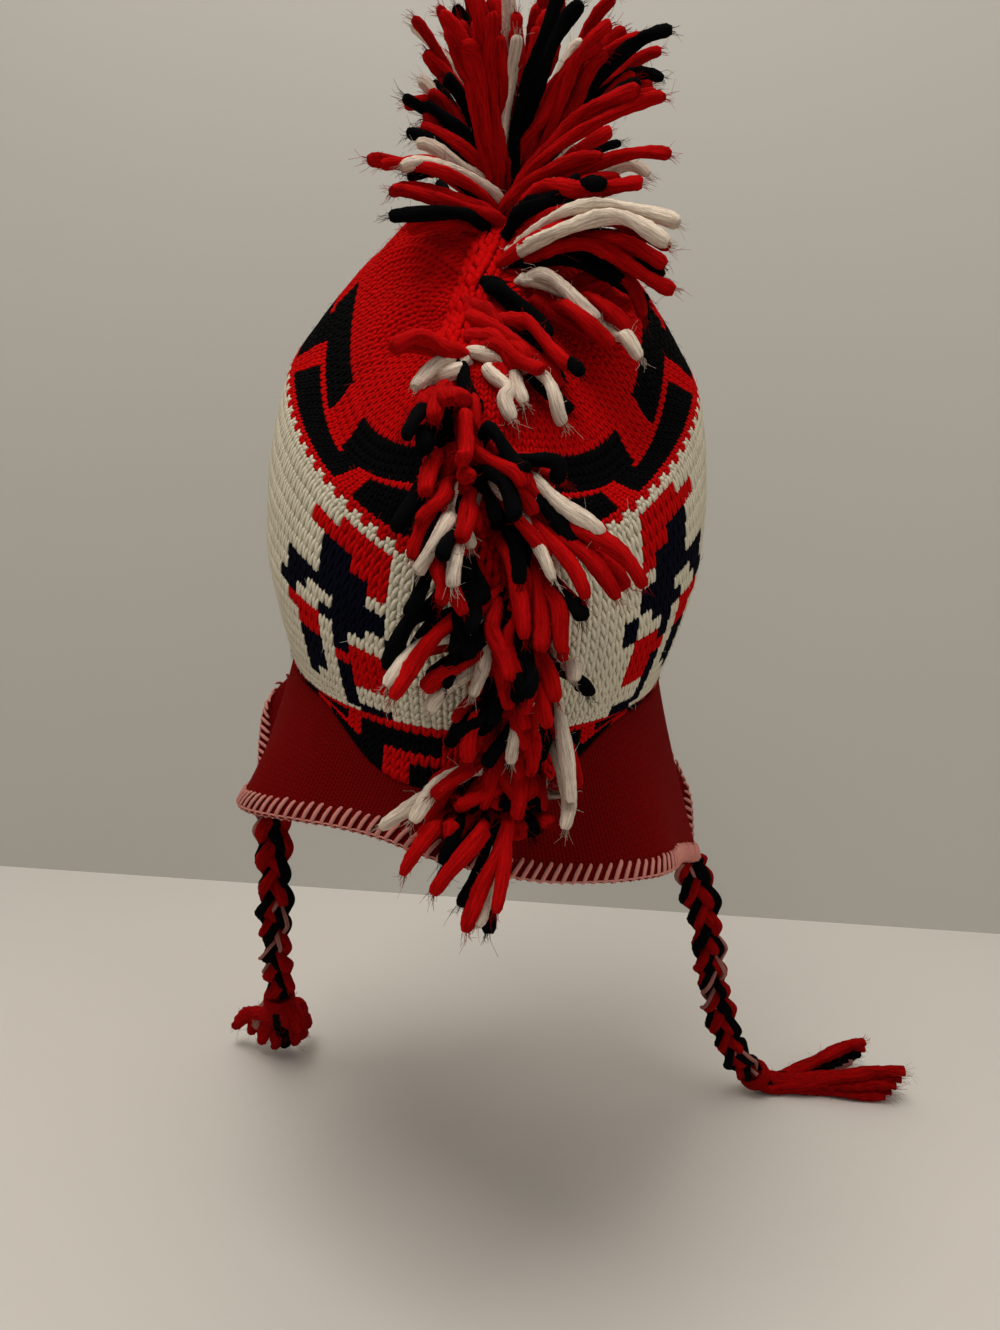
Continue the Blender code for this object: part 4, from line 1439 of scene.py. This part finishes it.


# The tassels' strands read off the picture: where each ends, its yarn and how far it lies
# behind its bundle's lowest strand, in widths. A bundle's first row is its lowest strand.
TASSEL_BUNDLES = {
    "left": [
        [
            (276, 1045, "red", 0.0), (252, 1030, "red", 0.2), (237, 1025, "red", 0.6),
            (262, 1040, "red", -0.4), (286, 1044, "black", 0.3), (296, 1041, "red", 0.0),
            (303, 1035, "red", 0.7), (307, 1025, "red", 1.2), (303, 1014, "red", 1.6),
            (268, 1030, "red", -1.2), (282, 1034, "black", -1.2), (296, 1026, "red", -0.9),
            (262, 1020, "red", 1.0), (276, 1020, "red", -1.6), (290, 1018, "red", -1.4),
            (280, 1028, "black", -1.8), (258, 1026, "white", -0.6), (300, 1030, "red", -1.6),
        ],
    ],
    "right": [
        [
            (842, 1067, "white", 0.0), (850, 1061, "white", -0.3), (863, 1042, "red", 0.0),
            (862, 1048, "red", 0.9), (858, 1054, "black", 0.3), (850, 1055, "black", 1.2),
            (856, 1044, "red", 1.2),
        ],
        [
            (884, 1096, "red", 0.0), (890, 1091, "red", 0.3), (895, 1085, "red", -0.2),
            (900, 1078, "red", 0.2), (904, 1071, "red", 0.0), (880, 1094, "red", 1.0),
            (888, 1086, "red", 1.1), (894, 1079, "red", 0.9), (898, 1072, "red", 1.1),
            (886, 1078, "red", 1.9), (876, 1088, "black", 2.0),
        ],
    ],
}
# By side: the half width of a tassel's strands, and how high they bend before their ends
TASSEL_HALF = {"left": 0.0050, "right": 0.0042}
TASSEL_RISE = {"left": 0.022, "right": 0.001}
# How far from the tassel's middle its strands start in turn, and each one's points and width
TASSEL_RINGS = (0.0012, 0.0042, 0.0042)
TASSEL_POINTS = 14
TASSEL_SHARES = (0.0, 0.3, 0.94, 1.0)
TASSEL_WIDTHS = (0.7, 1.0, 1.0, 0.80)


def route_end(route):
    """A tie's last point, its direction there, and two directions square to it."""
    end, before = Vector(route[-1]), Vector(route[-2])
    direction = (end - before).normalized()
    across = Vector((-direction.y, direction.x, 0.0)).normalized()
    return end, direction, across, across.cross(direction)


def tassel_lines(side, route, rng):
    """A tassel's strands, bundled at the tie and lying on the floor at their ends."""
    end, direction, across, above = route_end(route)
    start = end + direction * (TIE_GAP + TIE_LENGTH * 0.6)
    half = TASSEL_HALF[side]
    shares = np.interp(np.linspace(0, 1, TASSEL_POINTS), TASSEL_SHARES, TASSEL_WIDTHS)
    lines = {}
    for bundle in TASSEL_BUNDLES[side]:
        foot = at_height(bundle[0][0], bundle[0][1], REST_LEVEL + half)
        for k, (x, y, yarn, behind) in enumerate(bundle):
            ray = sight(x, y)
            depth = foot.y + behind * half * 1.6
            tip = CAMERA_PLACE + ray * ((depth - CAMERA_PLACE.y) / ray.y)
            tip.z = max(tip.z, REST_LEVEL + half)
            turn = 2.0 * math.pi * k / len(bundle)
            root = start + (across * math.cos(turn) + above * math.sin(turn)) * TASSEL_RINGS[k % 3]
            lead = root + direction * min((tip - root).length * 0.35, 0.022)
            late = tip + (root - tip) * 0.35
            late.z = tip.z + TASSEL_RISE[side]
            points = []
            for step in range(TASSEL_POINTS):
                place = bend(root, lead, late, tip, step / (TASSEL_POINTS - 1))
                place.z = max(place.z, REST_LEVEL + half)
                points.append(tuple(place))
            row = (points, [half * share for share in shares], rng.uniform(0.0, 40.0))
            lines.setdefault(yarn, []).append(row)
    return lines


def wrap_lines(route):
    """The yarn wound round the end of a plait."""
    end, direction, across, above = route_end(route)
    half, turns, steps = 0.0014, 5, 22
    radius = BRAID_WIDTH / 2.0 * 0.72
    points = []
    for k in range(turns * steps + 1):
        share = k / (turns * steps)
        turn = 2.0 * math.pi * turns * share
        swell = radius + 0.0008 * math.sin(math.pi * share) - half * 0.4
        place = end + direction * (TIE_GAP + half + (TIE_LENGTH - 2.0 * half) * share)
        points.append(tuple(place + (across * math.cos(turn) + above * math.sin(turn)) * swell))
    return {"red": [(points, [half] * len(points), 5.2)]}


def rim_places(angles, spacing):
    """Evenly spaced places along the skirt's edge with their directions and size."""
    rings = skirt_rings(angles)
    _, outward = ring_frames(rings)
    edge = rings[-1]
    run = running(np.concatenate((edge, edge[:1])))
    count = int(round(run[-1] / spacing))
    wanted = (np.arange(count) + 0.5) * run[-1] / count

    def along(values):
        return sampled(wanted, run, np.concatenate((values, values[:1])))

    outward = unit(along(outward[-1]))
    ahead = unit(along(unit(np.roll(edge, -1, axis=0) - np.roll(edge, 1, axis=0))))
    outward = unit(outward - ahead * (outward * ahead).sum(axis=1, keepdims=True))
    # the edge's stitches are drawn in millimetres
    return along(edge), ahead, outward, np.full((count, 3), 0.001)


def settings():
    scene = bpy.context.scene
    return scene.hat_yarns, scene.hat_sizes, scene.hat_stage


def rovings(prefix, red, black, white, pale="white"):
    """The red, black and white roving of a part; black has no bloom."""
    return {
        "red": soft_roving(prefix + "red", red),
        "black": soft_roving(prefix + "black", black, sheen=0.0),
        "white": soft_roving(prefix + pale, white),
    }


class WINTERHAT_OT_camera(Operator):
    """Sets the camera at the picture's place"""

    bl_idname = "winterhat.camera"
    bl_label = "Camera"

    def execute(self, context):
        data = bpy.data.cameras.new("camera")
        data.sensor_width = FILM_SIDE
        data.lens = FOCAL_PIXELS / PICTURE_HEIGHT * FILM_SIDE
        camera = bpy.data.objects.new("camera", data)
        camera.matrix_world = Matrix.Translation(CAMERA_PLACE) @ camera_axes().to_4x4()
        context.scene.collection.objects.link(camera)
        context.scene.camera = camera
        return {"FINISHED"}


class WINTERHAT_OT_ties(Operator):
    """Plaits the two ties, winds their ends and lays out their tassels"""

    bl_idname = "winterhat.ties"
    bl_label = "Ties and tassels"

    def execute(self, context):
        colours, sizes, _ = settings()
        # painted shade: the plaits and tassels take the crest's red and the edge's thread, darkened
        deep = tuple(PLAIT_SHADE_RED * c for c in colours.crest_red)
        shaded_pale = tuple(PLAIT_SHADE_PALE * c for c in colours.edge_pink)
        yarns = rovings("plaited_wool_", deep, colours.black, shaded_pale, "pale")
        rng = random.Random(sizes.seed + 5)
        for side, route, turn in (("left", LEFT_ROUTE, 0.4), ("right", RIGHT_ROUTE, 1.9)):
            lines = plait_lines(route, (1.0, 0.15, 0.0), turn)
            plait = strands_piece(side + "_plait", lines, yarns, sides=8, lumps=0.12)
            wrap = strands_piece(side + "_wrap", wrap_lines(route), yarns, sides=6, lumps=0.0)
            lines = tassel_lines(side, route, rng)
            strands = [row for rows in lines.values() for row in rows]
            tassel = strands_piece(side + "_tassel_strands", lines, yarns, sides=8, lumps=0.12)
            lines = {"red": fuzz_lines(strands, 8, 0.004, rng, tips=10)}
            fuzz = strands_piece(side + "_tassel_fuzz", lines, yarns, sides=3, lumps=0.0)
            for piece, node, finish in (
                (plait, side + "_braid", "yarn_braid"),
                (wrap, side + "_tie", "yarn_braid"),
                (tassel, side + "_tassel", "yarn_crest"),
                (fuzz, None, "yarn_crest"),
            ):
                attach(piece, "root")
                if node:
                    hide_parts(node)
            path = smooth_line(route, ROUTE_STEPS)
            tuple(path[0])
        return {"FINISHED"}


class WINTERHAT_OT_body(Operator):
    """Knits the body: its ground and a stitch for every place of the chart"""

    bl_idname = "winterhat.body"
    bl_label = "Knitted body"

    def execute(self, context):
        yarns, sizes, _ = settings()
        angles = column_angles(COLUMNS)
        ground = add_piece(
            "knit_ground", knit_shell(yarns, angles), ground_knit("stranded_knit_ground")
        )
        fibres, wools = {}, {}
        rng = random.Random(sizes.seed + 3)
        for yarn, (place, across, outward, size) in knit_rows(angles).items():
            rise = sizes.stitch_rise * (CROWN_RISE if yarn == "crown" else 1.0)
            size = np.column_stack((size, np.full(len(size), rise)))
            colour = yarns.red if yarn == "crown" else getattr(yarns, yarn)
            bloom = 0.0 if yarn in ("black", "navy") else BLOOM
            wools[yarn] = spun_wool("spun_wool_" + yarn, colour, bloom)
            fibres[yarn] = knit_fibres(place, across, outward, rng)
            values = {"Width": 2.1 * sizes.leg_width, "Unevenness": 0.06, "Seed": sizes.seed}
            values["Yarn"] = wools[yarn]
            legs, places = [KNIT_LEG, mirrored(KNIT_LEG)], (place, across, outward, size)
            piece = stitches_piece("knit_" + yarn, legs, 4, places, values)
            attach(piece, "root")
            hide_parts("knit_body")
        fuzz = strands_piece("knit_fuzz", fibres, wools, sides=3, lumps=0.0)
        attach(fuzz, "root")
        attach(ground, "root")
        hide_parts("knit_body")
        BUILT["ground"] = ground
        return {"FINISHED"}


class WINTERHAT_OT_skirt(Operator):
    """Makes the fine-knit skirt with the ear flaps and stitches its edge"""

    bl_idname = "winterhat.skirt"
    bl_label = "Skirt and edge"

    def execute(self, context):
        yarns, sizes, _ = settings()
        angles = skirt_angles()
        skirt = add_piece(
            "skirt_knit", skirt_shell(angles), fine_knit("fine_wool_knit_red", yarns.deep_red)
        )
        values = {"Unevenness": 0.07, "Seed": sizes.seed + 2}
        values["Yarn"] = spun_wool("edge_thread", yarns.edge_pink)
        places = rim_places(angles, sizes.edge_stitch)
        edge = stitches_piece("edge_stitches", [EDGE_BAR, EDGE_LOOP], 6, places, values)
        for piece in (skirt, edge):
            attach(piece, "root")
        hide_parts("neck_skirt")
        BUILT["skirt"] = skirt
        return {"FINISHED"}


class WINTERHAT_OT_crest(Operator):
    """Sets the crest's strands along its line, with their stray fibres"""

    bl_idname = "winterhat.crest"
    bl_label = "Crest"

    def execute(self, context):
        colours, sizes, _ = settings()
        body, skirt = tree_of(BUILT["ground"].data), tree_of(BUILT["skirt"].data)
        values = {"Unevenness": 0.14, "Seed": sizes.seed + 4}
        values["Yarn"] = spun_wool("thick_wool_red", colours.red)
        legs = [KNIT_LEG, mirrored(KNIT_LEG)]
        ridge = stitches_piece("crest_ridge", legs, 5, ridge_places(body), values)
        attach(ridge, "root")
        lines = crest_lines(body, [body, skirt], sizes)
        yarns = rovings("soft_spun_wool_", colours.crest_red, colours.black, colours.crest_white)
        rng = random.Random(sizes.seed + 9)
        for yarn, rows in lines.items():
            name = "crest_strands_" + yarn
            strands = strands_piece(name, {yarn: rows}, yarns, sides=12, lumps=0.34)
            stray = {yarn: fuzz_lines(rows, 15, 0.0030, rng, tips=12)}
            fuzz = strands_piece("crest_fuzz_" + yarn, stray, yarns, sides=3, lumps=0.0)
            for piece in (strands, fuzz):
                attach(piece, "root")
            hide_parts("crest_front", "crest_top", "crest_nape")
        return {"FINISHED"}


# The stage's reach from the hat, and its lamps: name, place, size, share of the light's strength
STAGE_REACH = 2.4
STAGE_HALF = 3.0
LAMPS = (
    ("main_light", (-0.38, -0.48, 1.40), 0.8, 1.25),
    ("side_light", (0.95, -0.75, 0.75), 1.1, 0.26),
    ("top_light", (0.10, 0.10, 1.30), 1.2, 0.55),
)
LAMP_COLOUR = (1.0, 0.945, 0.87)
LIT_PLACE = Vector((0.0, 0.0, -0.15))
AIR_COLOUR = (0.80, 0.77, 0.73, 1.0)
AIR_STRENGTH = 0.33


class WINTERHAT_OT_stage(Operator):
    """Sets up the pale floor, the wall and soft studio light"""

    bl_idname = "winterhat.stage"
    bl_label = "Stage"

    def execute(self, context):
        _, _, stage = settings()
        floor = [(-STAGE_REACH, REST_LEVEL), (WALL_PLACE, REST_LEVEL)]
        wall = [(WALL_PLACE, REST_LEVEL - 0.02), (WALL_PLACE, STAGE_REACH)]
        for name, section, colour in (
            ("floor", floor, stage.floor_colour),
            ("wall", wall, stage.wall_colour),
        ):
            points = [(x, y, z) for y, z in section for x in (-STAGE_HALF, STAGE_HALF)]
            mesh = mesh_of(name, points, [], [(0, 1, 3, 2)])
            board = matt_board("matt_board_" + name, colour, one_sided=name == "wall")
            add_piece(name, mesh, board)
        for name, place, size, power in LAMPS:
            data = bpy.data.lights.new(name, "AREA")
            data.energy = stage.light * power
            data.color = LAMP_COLOUR
            data.size = size
            lamp = bpy.data.objects.new(name, data)
            aim = (LIT_PLACE - Vector(place)).to_track_quat("-Z", "Y")
            lamp.matrix_world = Matrix.Translation(place) @ aim.to_matrix().to_4x4()
            context.scene.collection.objects.link(lamp)
        world = bpy.data.worlds.new("studio")
        world.use_nodes = True
        background = world.node_tree.nodes["Background"]
        background.inputs[0].default_value = AIR_COLOUR
        background.inputs[1].default_value = AIR_STRENGTH
        context.scene.world = world
        # a plain camera curve, so that the reds keep their depth
        context.scene.view_settings.view_transform = "Standard"
        return {"FINISHED"}


class WINTERHAT_PT_panel(Panel):
    """Lists the hat's parts"""

    bl_idname = "WINTERHAT_PT_panel"
    bl_label = "Winter Hat"
    bl_space_type = "VIEW_3D"
    bl_region_type = "UI"
    bl_category = "Winter Hat"

    def draw(self, context):
        for group in settings():
            box = self.layout.box()
            for name in group.bl_rna.properties.keys():
                if name not in ("rna_type", "name"):
                    box.prop(group, name)
        for operator in OPERATORS:
            self.layout.operator(operator.bl_idname)


OPERATORS = (
    WINTERHAT_OT_camera,
    WINTERHAT_OT_ties,
    WINTERHAT_OT_body,
    WINTERHAT_OT_skirt,
    WINTERHAT_OT_crest,
    WINTERHAT_OT_stage,
)
GROUPS = {"hat_yarns": HatYarns, "hat_sizes": HatSizes, "hat_stage": HatStage}


def register():
    for name, group in GROUPS.items():
        bpy.utils.register_class(group)
        setattr(bpy.types.Scene, name, PointerProperty(type=group))
    for kind in (*OPERATORS, WINTERHAT_PT_panel):
        bpy.utils.register_class(kind)


def unregister():
    for kind in (WINTERHAT_PT_panel, *reversed(OPERATORS)):
        bpy.utils.unregister_class(kind)
    for name, group in reversed(GROUPS.items()):
        delattr(bpy.types.Scene, name)
        bpy.utils.unregister_class(group)


def main():
    register()
    bpy.ops.winterhat.camera()
    bpy.ops.winterhat.ties()
    bpy.ops.winterhat.body()
    bpy.ops.winterhat.skirt()
    bpy.ops.winterhat.crest()
    bpy.ops.winterhat.stage()


if __name__ == "__main__":
    main()
